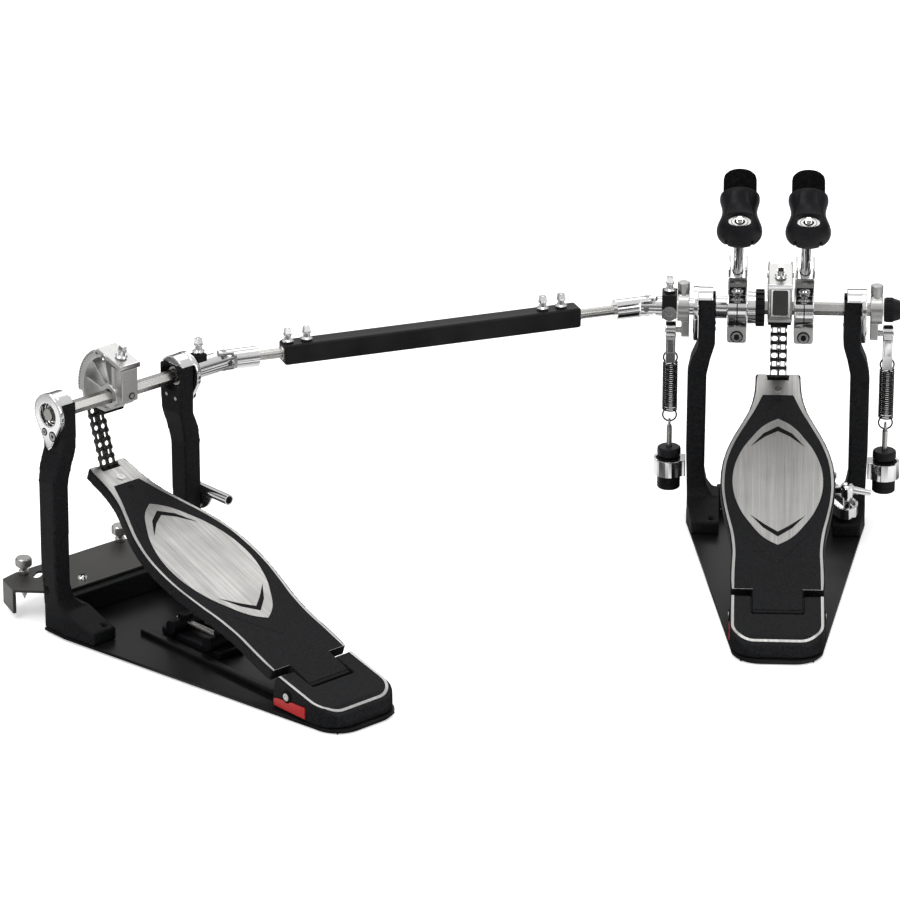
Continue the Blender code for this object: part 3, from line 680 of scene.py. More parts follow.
@dataclass
class Scatter(Pattern):
    """A template shape on every point, its Z axis along the point's aim."""

    def template(self, graph: Graph, size: dict[str, Port]) -> Port:
        """The shape that is repeated."""
        raise NotImplementedError

    def fill(self, graph: Graph, start: Port, size: dict[str, Port]) -> Port:
        """Instances of the template, turned to each point's aim."""
        aim = graph.node("GeometryNodeInputNamedAttribute", {"data_type": "FLOAT_VECTOR"},
                         {"Name": "aim"}, output="Attribute")
        facing = graph.node("FunctionNodeAlignRotationToVector", {"axis": "Z"}, {"Vector": aim})
        return graph.node("GeometryNodeInstanceOnPoints", {},
                          {"Points": start, "Instance": self.template(graph, size), "Rotation": facing})

    def on(self, piece: Piece, spots: Sequence[tuple[Point, Point]], finish: Finish,
           where: Optional[Matrix] = None) -> Piece:
        """Adds one copy to a piece at each (point, aim), in millimetres."""
        mesh = point_mesh([point for point, _ in spots])
        aims = mesh.attributes.new("aim", "FLOAT_VECTOR", "POINT")
        for item, (_, aim) in zip(aims.data, spots):
            item.vector = aim
        local = piece.place if where is None else piece.place @ where
        return piece.add_mesh(self.grow(mesh, finish, local), finish)


def stacked(graph: Graph, layers: Sequence[tuple[Any, Any, Any, Any]], sides: int) -> Port:
    """Cone slices on Z, each (bottom, depth, lower radius, upper radius) in metres."""
    made = []
    for bottom, depth, low, high in layers:
        slice_ = graph.node("GeometryNodeMeshCone", {"fill_type": "NGON"},
                            {"Vertices": sides, "Radius Bottom": low, "Radius Top": high, "Depth": depth})
        lift = graph.node("ShaderNodeCombineXYZ", {}, {"Z": bottom})
        made.append(graph.node("GeometryNodeTransform", {}, {"Geometry": slice_, "Translation": lift}))
    return graph.node("GeometryNodeJoinGeometry", {}, {"Geometry": made})


@dataclass
class KeyBolts(Scatter):
    """Drum-key bolts: a flange, a tapered body and a square head."""

    name: str = "key_bolts"
    sizes: dict[str, float] = field(default_factory=lambda: {"Height": 12.0, "Flange": 4.6, "Head": 5.2})

    def template(self, graph: Graph, size: dict[str, Port]) -> Port:
        """The bolt's body in slices, with the square head on top."""
        tall, wide, head = (size[k] * METRES for k in ("Height", "Flange", "Head"))
        body = stacked(graph, [(0.0, tall * 0.14, wide * 0.80, wide),
                               (tall * 0.14, tall * 0.10, wide, wide * 0.72),
                               (tall * 0.24, tall * 0.30, wide * 0.62, head * 0.42),
                               (tall * 0.54, tall * 0.08, head * 0.66, head * 0.66),
                               (tall * 0.94, tall * 0.06, head * 0.36, head * 0.22)], 20)
        square = graph.node("GeometryNodeMeshCone", {"fill_type": "NGON"},
                            {"Vertices": 4, "Radius Bottom": head * 0.66, "Radius Top": head * 0.58,
                             "Depth": tall * 0.34})
        lift = graph.node("ShaderNodeCombineXYZ", {}, {"Z": tall * 0.61})
        square = graph.node("GeometryNodeTransform", {},
                            {"Geometry": square, "Translation": lift, "Rotation": (0, 0, math.pi / 4)})
        return graph.node("GeometryNodeJoinGeometry", {}, {"Geometry": [body, square]})


@dataclass
class SocketScrews(Scatter):
    """Button-headed screws with a hexagon socket."""

    name: str = "socket_screws"
    sizes: dict[str, float] = field(default_factory=lambda: {"Radius": 3.0, "Height": 1.6})

    def template(self, graph: Graph, size: dict[str, Port]) -> Port:
        """The head in two slices with the socket taken out."""
        wide, tall = size["Radius"] * METRES, size["Height"] * METRES
        head = stacked(graph, [(0.0, tall * 0.6, wide, wide),
                               (tall * 0.6, tall * 0.4, wide, wide * 0.82)], 24)
        hexagon = graph.node("GeometryNodeMeshCylinder", {"fill_type": "NGON"},
                             {"Vertices": 6, "Radius": wide * 0.46, "Depth": tall * 1.4}, output="Mesh")
        lift = graph.node("ShaderNodeCombineXYZ", {}, {"Z": tall * 1.05})
        hexagon = graph.node("GeometryNodeTransform", {}, {"Geometry": hexagon, "Translation": lift})
        return graph.node("GeometryNodeMeshBoolean", {"operation": "DIFFERENCE", "solver": "EXACT"},
                          {"Mesh 1": head, "Mesh 2": hexagon}, output="Mesh")


def screws(piece: Piece, radius: float, height: float, spots: Sequence[tuple[Point, Point]],
           finish: Finish, where: Optional[Matrix] = None) -> Piece:
    """Adds socket screws of one size to a piece, one at each (point, aim)."""
    return SocketScrews(sizes={"Radius": radius, "Height": height}).on(piece, spots, finish, where)


def bolts(piece: Piece, height: float, flange: float, head: float,
          spots: Sequence[tuple[Point, Point]], where: Optional[Matrix] = None) -> Piece:
    """Adds chrome drum-key bolts of one size to a piece, one at each (point, aim)."""
    sizes = {"Height": height, "Flange": flange, "Head": head}
    return KeyBolts(sizes=sizes).on(piece, spots, CHROME, where)


@dataclass
class Ridges(Scatter):
    """Raised bars round a knob or a ring: the aim points outwards, the bar lies along local Y."""

    name: str = "ridges"
    sizes: dict[str, float] = field(default_factory=lambda: {"Along": 4.0, "Across": 1.0, "Proud": 1.0})

    def template(self, graph: Graph, size: dict[str, Port]) -> Port:
        """One bar."""
        along, across, proud = (size[k] * METRES for k in ("Along", "Across", "Proud"))
        bulk = graph.node("ShaderNodeCombineXYZ", {}, {"X": along, "Y": across, "Z": proud})
        return graph.node("GeometryNodeMeshCube", {}, {"Size": bulk}, output="Mesh")

    def round(self, piece: Piece, radius: float, height: float, count: int, finish: Finish,
              where: Matrix) -> Piece:
        """Bars round the Z axis of a frame, each along that axis."""
        spots = []
        for i in range(count):
            a = 2 * math.pi * (i + 0.5) / count
            spots.append(((height, radius * math.cos(a), radius * math.sin(a)),
                          (0.0, math.cos(a), math.sin(a))))
        return self.on(piece, spots, finish, where @ turn(-90, "Y"))


@dataclass
class Hooks(Scatter):
    """Small pointed studs that grip a carpet."""

    name: str = "grip_hooks"
    sizes: dict[str, float] = field(default_factory=lambda: {"Radius": 1.1, "Height": 1.4})

    def template(self, graph: Graph, size: dict[str, Port]) -> Port:
        """One blunt four-sided point."""
        wide, tall = size["Radius"] * METRES, size["Height"] * METRES
        return stacked(graph, [(0.0, tall, wide, wide * 0.35)], 5)


@dataclass
class ChainLinks(Pattern):
    """Two rows of roller chain along a path: pins, bushings and figure-eight side plates."""

    name: str = "chain_links"
    sizes: dict[str, float] = field(default_factory=lambda: {"Pitch": 6.5, "Half width": 6.6, "Disc": 2.3})

    def fill(self, graph: Graph, start: Port, size: dict[str, Port]) -> Port:
        """Inner and outer links in turn at even steps along the path."""
        pitch, half, disc = (size[k] * METRES for k in ("Pitch", "Half width", "Disc"))
        line = graph.node("GeometryNodeMeshToCurve", {}, {"Mesh": start}, output="Curve")
        even = graph.node("GeometryNodeResampleCurve", {"mode": "LENGTH"},
                          {"Curve": line, "Length": pitch})
        tangent = graph.node("GeometryNodeInputTangent")
        facing = graph.node("FunctionNodeAlignRotationToVector", {"axis": "Y"}, {"Vector": tangent})
        index = graph.node("GeometryNodeInputIndex")
        odd = graph.node("ShaderNodeMath", {"operation": "MODULO"}, {0: index, 1: 2.0})
        rows = []
        for wanted, places in ((0.0, (0.20, 0.78)), (1.0, (0.06, 0.92))):
            choose = graph.node("FunctionNodeCompare", {"data_type": "FLOAT", "operation": "EQUAL"},
                                {"A": odd, "B": wanted, "Epsilon": 0.1})
            link = self.link(graph, places, pitch, half, disc)
            rows.append(graph.node("GeometryNodeInstanceOnPoints", {},
                                   {"Points": even, "Selection": choose, "Instance": link,
                                    "Rotation": facing}))
        return graph.node("GeometryNodeJoinGeometry", {}, {"Geometry": rows})

    @staticmethod
    def link(graph: Graph, places: Sequence[float], pitch: Port, half: Port, disc: Port) -> Port:
        """One link from a pin to the next, with its plates at shares of the half width."""
        shapes = []
        quarter = (0.0, math.pi / 2, 0.0)

        def drum(radius: Port, depth: Port, x: Any, y: Any) -> None:
            """A disc across the chain."""
            made = graph.node("GeometryNodeMeshCylinder", {"fill_type": "NGON"},
                              {"Vertices": 12, "Radius": radius, "Depth": depth}, output="Mesh")
            spot = graph.node("ShaderNodeCombineXYZ", {}, {"X": x, "Y": y})
            shapes.append(graph.node("GeometryNodeTransform", {},
                                     {"Geometry": made, "Translation": spot, "Rotation": quarter}))

        drum(disc * 0.42, half * 2.0, 0.0, 0.0)
        for side in (-1.0, 1.0):
            drum(disc * 0.62, half * 0.72, half * side * 0.5, 0.0)
            for share in places:
                x = half * (side * share)
                for y in (0.0, pitch):
                    drum(disc, half * 0.12, x, y)
                neck = graph.node("ShaderNodeCombineXYZ", {}, {"X": half * 0.118, "Y": pitch,
                                                               "Z": disc * 1.25})
                plate = graph.node("GeometryNodeMeshCube", {}, {"Size": neck}, output="Mesh")
                spot = graph.node("ShaderNodeCombineXYZ", {}, {"X": x, "Y": pitch * 0.5})
                shapes.append(graph.node("GeometryNodeTransform", {},
                                         {"Geometry": plate, "Translation": spot}))
        return graph.node("GeometryNodeJoinGeometry", {}, {"Geometry": shapes})

    def along(self, piece: Piece, path: Sequence[Point], finish: Finish) -> Piece:
        """Adds the chain to a piece along a path in millimetres."""
        mesh = point_mesh(path, joined=True)
        return piece.add_mesh(self.grow(mesh, finish, piece.place), finish)


@dataclass
class Coil(Pattern):
    """A coil spring's body."""

    name: str = "coil"
    sizes: dict[str, float] = field(default_factory=lambda: {"Radius": 5.4, "Height": 39.0, "Turns": 22.0,
                                                             "Wire": 0.62})

    def fill(self, graph: Graph, start: Port, size: dict[str, Port]) -> Port:
        """A spiral with a round wire."""
        radius, height, wire = (size[k] * METRES for k in ("Radius", "Height", "Wire"))
        spiral = graph.node("GeometryNodeCurveSpiral", {},
                            {"Resolution": 28, "Rotations": size["Turns"], "Start Radius": radius,
                             "End Radius": radius, "Height": height})
        ring = graph.node("GeometryNodeCurvePrimitiveCircle", {}, {"Resolution": 8, "Radius": wire})
        return graph.node("GeometryNodeCurveToMesh", {}, {"Curve": spiral, "Profile Curve": ring,
                                                          "Fill Caps": True})

    def on(self, piece: Piece, spot: Point, finish: Finish) -> Piece:
        """Adds the coil to a piece, standing on a point in millimetres."""
        mesh = point_mesh([(0.0, 0.0, 0.0)])
        return piece.add_mesh(self.grow(mesh, finish, piece.place @ shift(*spot)), finish)


def melted(solid: Solid, voxel: float, rounds: int = 3) -> Solid:
    """A cast or moulded form of a shape, with every edge softened.

    Args:
        solid: The sharp shape.
        voxel: The grain of the new surface in millimetres.
        rounds: How many times it is smoothed.

    Returns:
        The soft shape.
    """
    helper = solid.as_object()
    remesh = helper.modifiers.new("remesh", "REMESH")
    remesh.mode = "VOXEL"
    remesh.voxel_size = voxel
    smooth = helper.modifiers.new("smooth", "SMOOTH")
    smooth.factor = 0.5
    smooth.iterations = rounds
    bm = bmesh.new()
    bm.from_mesh(evaluated_mesh(helper))
    bpy.data.objects.remove(helper, do_unlink=True)
    return Solid(bm)


# The pedals ---------------------------------------------------------------------------------------
PLATE_OUTLINE = both_sides([(69.7, 7.2), (69.7, -17.0), (34.4, -261.2),
                            *arc((12.4, -261.2), 22, -10, -90, 8)])
HEEL_PIN = (-231.5, 17.0)
HEEL_PROFILE = [(-214.5, 4.3), (-218.0, 25.5), (-221.5, 29.0), (-268.0, 17.8), (-276.5, 13.5),
                (-280.0, 7.5), (-280.5, 4.3)]
BOARD_HALF = curve_through([(35.0, 20.5), (35.6, 32.0), (35.2, 50.0), (34.9, 64.0), (36.6, 83.0),
                            (40.0, 103.0), (43.0, 125.0), (43.7, 144.0), (42.0, 164.0), (37.0, 185.0),
                            (29.5, 205.0), (22.6, 223.0), (18.7, 242.0), (17.6, 260.0)], 5)
BOARD_TOE = 267.2
TOE_SLOT = 254.3
TOE_SCREW = 248.5
INLAY_HALF = curve_through([(32.4, 20.8), (32.2, 42.0), (31.7, 62.0), (33.2, 82.0), (36.8, 102.0),
                            (39.8, 122.0), (40.6, 142.0), (38.8, 164.0), (33.4, 185.0), (25.6, 205.0),
                            (18.2, 223.0), (13.4, 237.0)], 5)
LENS_HALF = curve_through([(0.0, 213.2), (7.2, 208.2), (13.6, 201.4), (19.8, 191.4), (27.2, 177.2),
                           (32.7, 159.2), (34.5, 141.2), (32.7, 123.2), (27.2, 105.2), (19.8, 91.0),
                           (13.6, 81.0), (7.2, 74.2), (0.0, 69.2)], 4)


@dataclass
class Assembly:
    """A group of pieces in one pedal's frame, named by a word."""

    word: str
    place: Matrix

    def piece(self, name: str) -> Piece:
        """An empty piece of this group."""
        return Piece(f"{self.word}_{name}", self.place)

    def packed(self, name: str, voxel: float = 0.0, rounds: int = 2) -> Solid:
        """A copy of one of this group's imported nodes, softened if a voxel size is given."""
        solid = Solid.packed(f"{self.word}_{name}", self.place)
        return melted(solid, voxel, rounds) if voxel else solid


@dataclass
class Pedal(Assembly):
    """The pieces that both pedals have."""

    stand: str
    shaft: str
    board: str
    chain: str
    brushed: Finish
    web_half: float = 1.4
    flange_in: float = 7.9
    flange_out: float = 9.5
    lid_drop: float = 0.0
    hinge_spot: Point = (0.0, -231.3, 15.4)
    hook_rows: int = 46
    hook_step: float = 6.2

    @property
    def axis(self) -> Matrix:
        """The shaft's frame within the pedal."""
        return shift(z=SHAFT_HEIGHT)

    @property
    def hinge(self) -> Matrix:
        """The board's frame within the pedal: Y runs up the board and Z out of it."""
        return shift(*self.hinge_spot) @ Matrix.Rotation(BOARD_SLOPE, 4, "X")

    def build(self) -> None:
        """Makes every piece."""
        self.base()
        self.casting()
        self.caps()
        self.heel()
        self.footboard()
        self.cam()
        self.clamp()
        self.chains()

    def base(self) -> None:
        """Steel plate with two ribs, and the gripping pad below."""
        made = self.piece("plate")
        made.add(Solid.slab(PLATE_OUTLINE, 1.6, 4.0).edged(0.5), SATIN)
        for side in (-1, 1):
            low, high = span(side, 18.0, 24.5)
            made.add(Solid.block((low, -205, 3.5), (high, -50, 8.0)).edged(1.2, 3), SATIN)
        inner = [(x * 0.965, y * 0.99 - 1.5) for x, y in PLATE_OUTLINE]
        made.add(Solid.slab(inner, 0.5, 1.7), RUBBER)
        spots = []
        for row in range(self.hook_rows):
            y = -277.0 + self.hook_step * row
            half = 65.5 if y > -18 else 65.5 - (-18 - y) * 0.1446
            half = min(half, 14.0 + math.sqrt(max(0.0, 484 - (y + 259) ** 2)) if y < -259 else half)
            count = max(1, int(half // 6))
            spots += [((x * half / count, y, 1.6), (0.0, 0.0, -1.0)) for x in range(-count, count + 1)]
        Hooks().on(made, spots, RUBBER)
        made.ride(self.stand, f"{self.word}_base_plate")

    def casting(self) -> None:
        """The two posts, their feet and the bar between them."""
        corner = [(69.6, -17.5), (65.3, -47.0), (76.0, -47.0), (76.0, -17.5)]
        tools = []
        for side in (-1, 1):
            tools.append(Solid.rod((side * 68.0, 4.8, 43.6), (side * 75.0, 4.8, 43.6), 1.3, sides=16))
            tools.append(Solid.rod((side * 67.0, 3.4, 35.5), (side * 75.0, 3.4, 35.5), 2.9, sides=20))
            tools.append(Solid.rod((side * 50.0, -40.0, 12.0), (side * 50.0, -40.0, 30.0), 2.2, sides=16))
            tools.append(Solid.slab([(side * x, y) for x, y in corner], 0.0, 40.0))
        made = self.piece("casting").add(melted(self.packed("frame").cut(*tools), 0.9, 9), POWDER)
        spots = [((side * 49.4, y, SHAFT_HEIGHT - drop), (-side, 0.0, 0.0))
                 for side in (-1, 1) for y, drop in ((-6.2, 15.6), (4.2, 14.4))]
        screws(made, 1.4, 0.7, spots, STEEL)
        made.ride(self.stand, f"{self.word}_frame")

    def caps(self) -> None:
        """Chrome bearing caps, the bearings in them and their screws."""
        for side, word in ((-1, "left"), (1, "right")):
            made = self.piece(f"{word}_cap").add(self.packed(f"{word}_bearing_cap", 0.5, 3), CHROME)
            for y, drop, radius in ((-5.2, 15.6, 3.1), (4.2, 14.4, 2.1)):
                spot = (side * 66.3, y, SHAFT_HEIGHT - drop)
                edge = (side * 66.75, y, SHAFT_HEIGHT - drop)
                made.add(Solid.rod(spot, edge, radius + 0.9, sides=28), RUBBER)
                screws(made, radius, 1.1, [(spot, (side, 0.0, 0.0))], SOFT_CHROME)
            made.ride(self.stand, f"{self.word}_{word}_bearing_cap")
            self.bearing(side, word)

    def bearing(self, side: int, word: str) -> None:
        """Two races with a dark shield between them."""
        bore = 6.8 if (self.word, word) == ("master", "left") else 5.5
        face, back = 62.4, 53.6
        made = self.piece(f"{word}_ball_race")
        spin = self.axis @ turn(90 * side, "Y")
        for inner, outer, front, finish in ((8.5, 9.9, face, CHROME), (7.2, 8.6, face - 0.7, RUBBER),
                                            (bore, 7.3, face, STEEL)):
            ring = [(inner, back), (outer, back), (outer, front - 0.3), (outer - 0.3, front),
                    (inner + 0.3, front), (inner, front - 0.3)]
            made.add(Solid.lathe(ring, 40, ring=True), finish, spin)
        made.ride(self.stand, f"{self.word}_{word}_bearing")

    def heel(self) -> None:
        """The moulded heel with its bright edge line and coloured side insert."""
        made = self.piece("heel_block").add(self.packed("heel", 0.7, 4), POWDER)
        raised = [(y, z + 0.3) for y, z in HEEL_PROFILE]
        loops = []
        for half, rear, wide, long in ((34.4, -273.9, 17.4, 18.4), (32.3, -271.9, 15.6, 16.6)):
            corner = [(half - wide + wide * math.cos(a), rear + long + long * math.sin(a))
                      for a in (math.radians(-7.5 * i) for i in range(13))]
            loops.append(both_sides([(half, -205.0 - half / 10), *corner]))
        line = Solid.slab(loops[0], 6.0, 34.0).cut(Solid.slab(loops[1], 5.0, 35.0))
        line = line.cut(Solid.block((-40, -221.0, 0), (40, -200, 50)))
        made.add(line.within(Solid.slab(raised, -36, 36, Plane.YZ)), self.brushed)
        flag = [(-251.5, 6.0), (-217.0, 6.0), (-217.0, 11.6), (-221.0, 12.6), (-238.0, 14.4),
                (-251.5, 15.0)]
        for side in (-1, 1):
            low, high = span(side, 34.0, 35.9)
            made.add(Solid.slab(flag, low, high, Plane.YZ).edged(0.4), RED if side < 0 else POWDER)
            made.add(Solid.rod((side * 34.0, *HEEL_PIN), (side * 36.1, *HEEL_PIN), 4.7, sides=36), RUBBER)
            screws(made, 2.9, 1.0, [((side * 35.9, *HEEL_PIN), (side, 0.0, 0.0))], SOFT_CHROME)
        made.ride(self.stand, f"{self.word}_heel")

    def footboard(self) -> None:
        """The board: body, bright band, inlay, lens plate and toe."""
        made = self.piece("board").add(self.packed("footboard", 0.8, 3), POWDER)
        toe = [(16.4, 262.0), (15.4, BOARD_TOE - 1.0), (8.3, BOARD_TOE - 1.0), (8.3, 259.4)]
        band = both_sides([(x - 1.1, y) for x, y in BOARD_HALF if y < 262] + toe)
        made.add(Solid.slab(band, 9.6, 10.25).edged(0.2), self.brushed, self.hinge)
        inlay = both_sides([(18.4, -2.0), (18.4, 20.8)] + INLAY_HALF + [(11.8, 241.6)])
        made.add(Solid.slab(inlay, 10.0, 10.55).edged(0.25), POWDER, self.hinge)
        made.add(Solid.slab(both_sides(LENS_HALF), 10.3, 10.95).edged(0.2), self.brushed, self.hinge)
        for mark in ([(0.0, 204.1), (10.9, 195.9), (20.6, 180.8), (9.5, 192.3), (0.0, 198.7)],
                     [(0.0, 78.3), (10.9, 88.0), (20.9, 102.4), (9.5, 91.4), (0.0, 83.7)]):
            made.add(Solid.slab(both_sides(mark), 10.8, 11.05), RUBBER, self.hinge)
        for side in (-1, 1):
            groove = [(side * 22.5, 81.0, 10.55), (side * 12.5, 66.0, 10.55), (side * 3.5, 54.0, 10.55),
                      (0.0, 51.2, 10.55)]
            made.add(Solid.sweep(curve_through(groove, 5), 0.28, 6), SATIN, self.hinge)
        y = TOE_SCREW
        made.add(Solid.rod((0, y, 10.0), (0, y, 10.5), 3.9, 3.6, 32), SOFT_CHROME, self.hinge)
        screws(made, 3.0, 0.9, [((0, y, 10.3), (0, 0, 1))], STEEL, self.hinge)
        made.add(Solid.rod((0, 235.5, 10.3), (0, 235.5, 10.65), 2.7, 2.7, 28), RUBBER,
                 self.hinge @ shift(0, 71, 0) @ Matrix.Diagonal((1.0, 0.7, 1.0, 1.0)))
        y, z = CHAIN_TOE
        made.add(Solid.rod((-8.7, y, z), (8.7, y, z), 1.4, sides=16), CHAIN)
        made.add(Solid.block((-8.6, TOE_SLOT, 1.6), (8.6, 259.2, 9.7)).edged(0.3), RUBBER, self.hinge)
        made.add(Solid.block((-8.4, 259.0, 1.8), (8.4, 262.8, 9.5)).edged(0.3), RUBBER, self.hinge)
        for side in (-1, 1):
            low, high = span(side, 8.2, 9.4)
            made.add(Solid.block((low, TOE_SLOT, 1.6), (high, 265.6, 9.3)).edged(0.3), RUBBER, self.hinge)
        made.ride(self.board, f"{self.word}_footboard")

    def cam(self) -> None:
        """The cast wheel: flanged rim, thin web, ribs, hub and the padded bar below."""
        made = self.piece("cam")
        last = 80 - 6.0 * self.lid_drop
        rim = arc((0, 0), 32.2, -20, last, 28) + arc((0, 0), 29.6, last, -20, 26)
        made.add(Solid.slab(rim, -9.2, 9.2, Plane.YZ).edged(0.5), CAST, self.axis)
        band = arc((0, 0), 36.2, -8, 64, 26) + arc((0, 0), 30.6, 64, -8, 24)
        for side in (-1, 1):
            low, high = span(side, self.flange_in, self.flange_out)
            made.add(Solid.slab(band, low, high, Plane.YZ).edged(0.35), CAST, self.axis)
            teeth = [((side * 9.4, 34.6 * math.cos(a), 34.6 * math.sin(a)), (side, 0.0, 0.0))
                     for a in (math.radians(-4 + 4.2 * i) for i in range(16))]
            Ridges(sizes={"Along": 0.8, "Across": 0.8, "Proud": 0.5}).on(made, teeth, RUBBER, self.axis)
        web = [(0.0, 0.0)] + arc((0, 0), 30.0, -20, 80, 22)
        made.add(Solid.slab(web, -self.web_half, self.web_half, Plane.YZ), CAST, self.axis)
        for angle in (12, 44, 74):
            rib = Solid.block((-6.8, 5.0, -0.9), (6.8, 30.2, 0.9)).edged(0.4)
            made.add(rib, CAST, self.axis @ turn(angle, "X"))
        boss = [(5.6, -9.4), (9.0, -9.4), (9.6, -8.8), (9.6, 8.8), (9.0, 9.4), (5.6, 9.4)]
        made.add(Solid.lathe(boss, 36, ring=True), CAST, self.axis @ turn(90, "Y"))
        wall = [(-6.6, -5.0), (-3.6, -5.0), (-3.6, 25.0), (-6.6, 24.2)]
        made.add(Solid.slab(wall, -9.2, 9.2, Plane.YZ).edged(0.6), CAST, self.axis)
        bar = [(4.0, -13.8), (26.5, -13.8), (29.0, -10.0), (26.0, -9.6), (4.0, -10.4)]
        made.add(Solid.slab(bar, -9.4, 9.4, Plane.YZ).edged(0.6), SOFT_CHROME, self.axis)
        pad = [(5.0, -16.2), (25.4, -16.2), (25.4, -13.9), (5.0, -13.9)]
        made.add(Solid.slab(pad, -9.0, 9.0, Plane.YZ).edged(0.6), RUBBER, self.axis)
        made.ride(self.shaft, f"{self.word}_cam_wheel")

    def clamp(self) -> None:
        """The sloping lid and the block that hold the chain, with their bolts."""
        made = self.piece("clamp")
        at = self.axis @ shift(z=-self.lid_drop)
        lid = [(13.5, 34.2), (-14.8, 26.8), (-14.8, 23.2), (14.4, 30.6)]
        made.add(Solid.slab(lid, -9.3, 9.3, Plane.YZ).edged(0.9, 3), SOFT_CHROME, at)
        lip = [(-13.9, 27.1), (-15.0, 26.8), (-15.0, 22.9), (-13.9, 23.2)]
        made.add(Solid.slab(lip, -9.4, 9.4, Plane.YZ).edged(0.3), CHROME, at)
        block = [(-6.0, 23.6), (-14.0, 22.6), (-14.0, -2.6), (-12.6, -3.8), (-6.0, -3.8)]
        plain = self.word == "slave"
        made.add(Solid.slab(block, -7.6, 7.6, Plane.YZ).edged(1.1, 3), SOFT_CHROME if plain else CHROME,
                 self.axis)
        if plain:
            made.add(Solid.rod((1.6, -13.9, 1.4), (1.6, -14.25, 1.4), 2.7, sides=28), RUBBER, self.axis)
            screws(made, 1.9, 0.5, [((1.6, -14.1, 1.4), (0, -1, 0))], STEEL, self.axis)
        else:
            panel = both_sides([(4.9, -1.0), (6.0, 0.2), (6.0, 18.4), (4.9, 19.6)])
            made.add(Solid.slab(panel, 13.7, 14.3, Plane.XZ).edged(0.3), PLATE_GREY, self.axis)
        lean = (0.0, -0.25, 0.968)
        bolts(made, 11.0, 4.6, 5.0, [((0.0, -4.2, 29.3), lean)], at)
        screws(made, 2.8, 2.0, [((side * 9.2, 4.0, 28.9), (side, 0, 0)) for side in (-1, 1)], CHROME, at)
        made.ride(self.shaft, f"{self.word}_cam_clamp")

    def chains(self) -> None:
        """The chain on the cam and the run down to the toe."""
        links = ChainLinks()
        pitch = links.sizes["Pitch"]
        step = math.degrees(pitch / CHAIN_RADIUS)
        radius = CHAIN_RADIUS - 0.4
        wrap = [(0.0, y, z + SHAFT_HEIGHT) for y, z in arc((0, 0), radius, 45, 45 - 3 * step, 24)]
        links.along(self.piece("chain_wrap"), wrap, CHAIN).ride(self.shaft, f"{self.word}_chain_on_cam")
        top = Vector((0.0, radius, SHAFT_HEIGHT))
        end = Vector((0.0, *CHAIN_TOE))
        last = end + (top - end).normalized() * (pitch + 0.2)
        run = [tuple(top.lerp(last, i / 12)) for i in range(13)]
        links.along(self.piece("chain_run"), run, CHAIN).ride(self.chain, f"{self.word}_chain_drop")


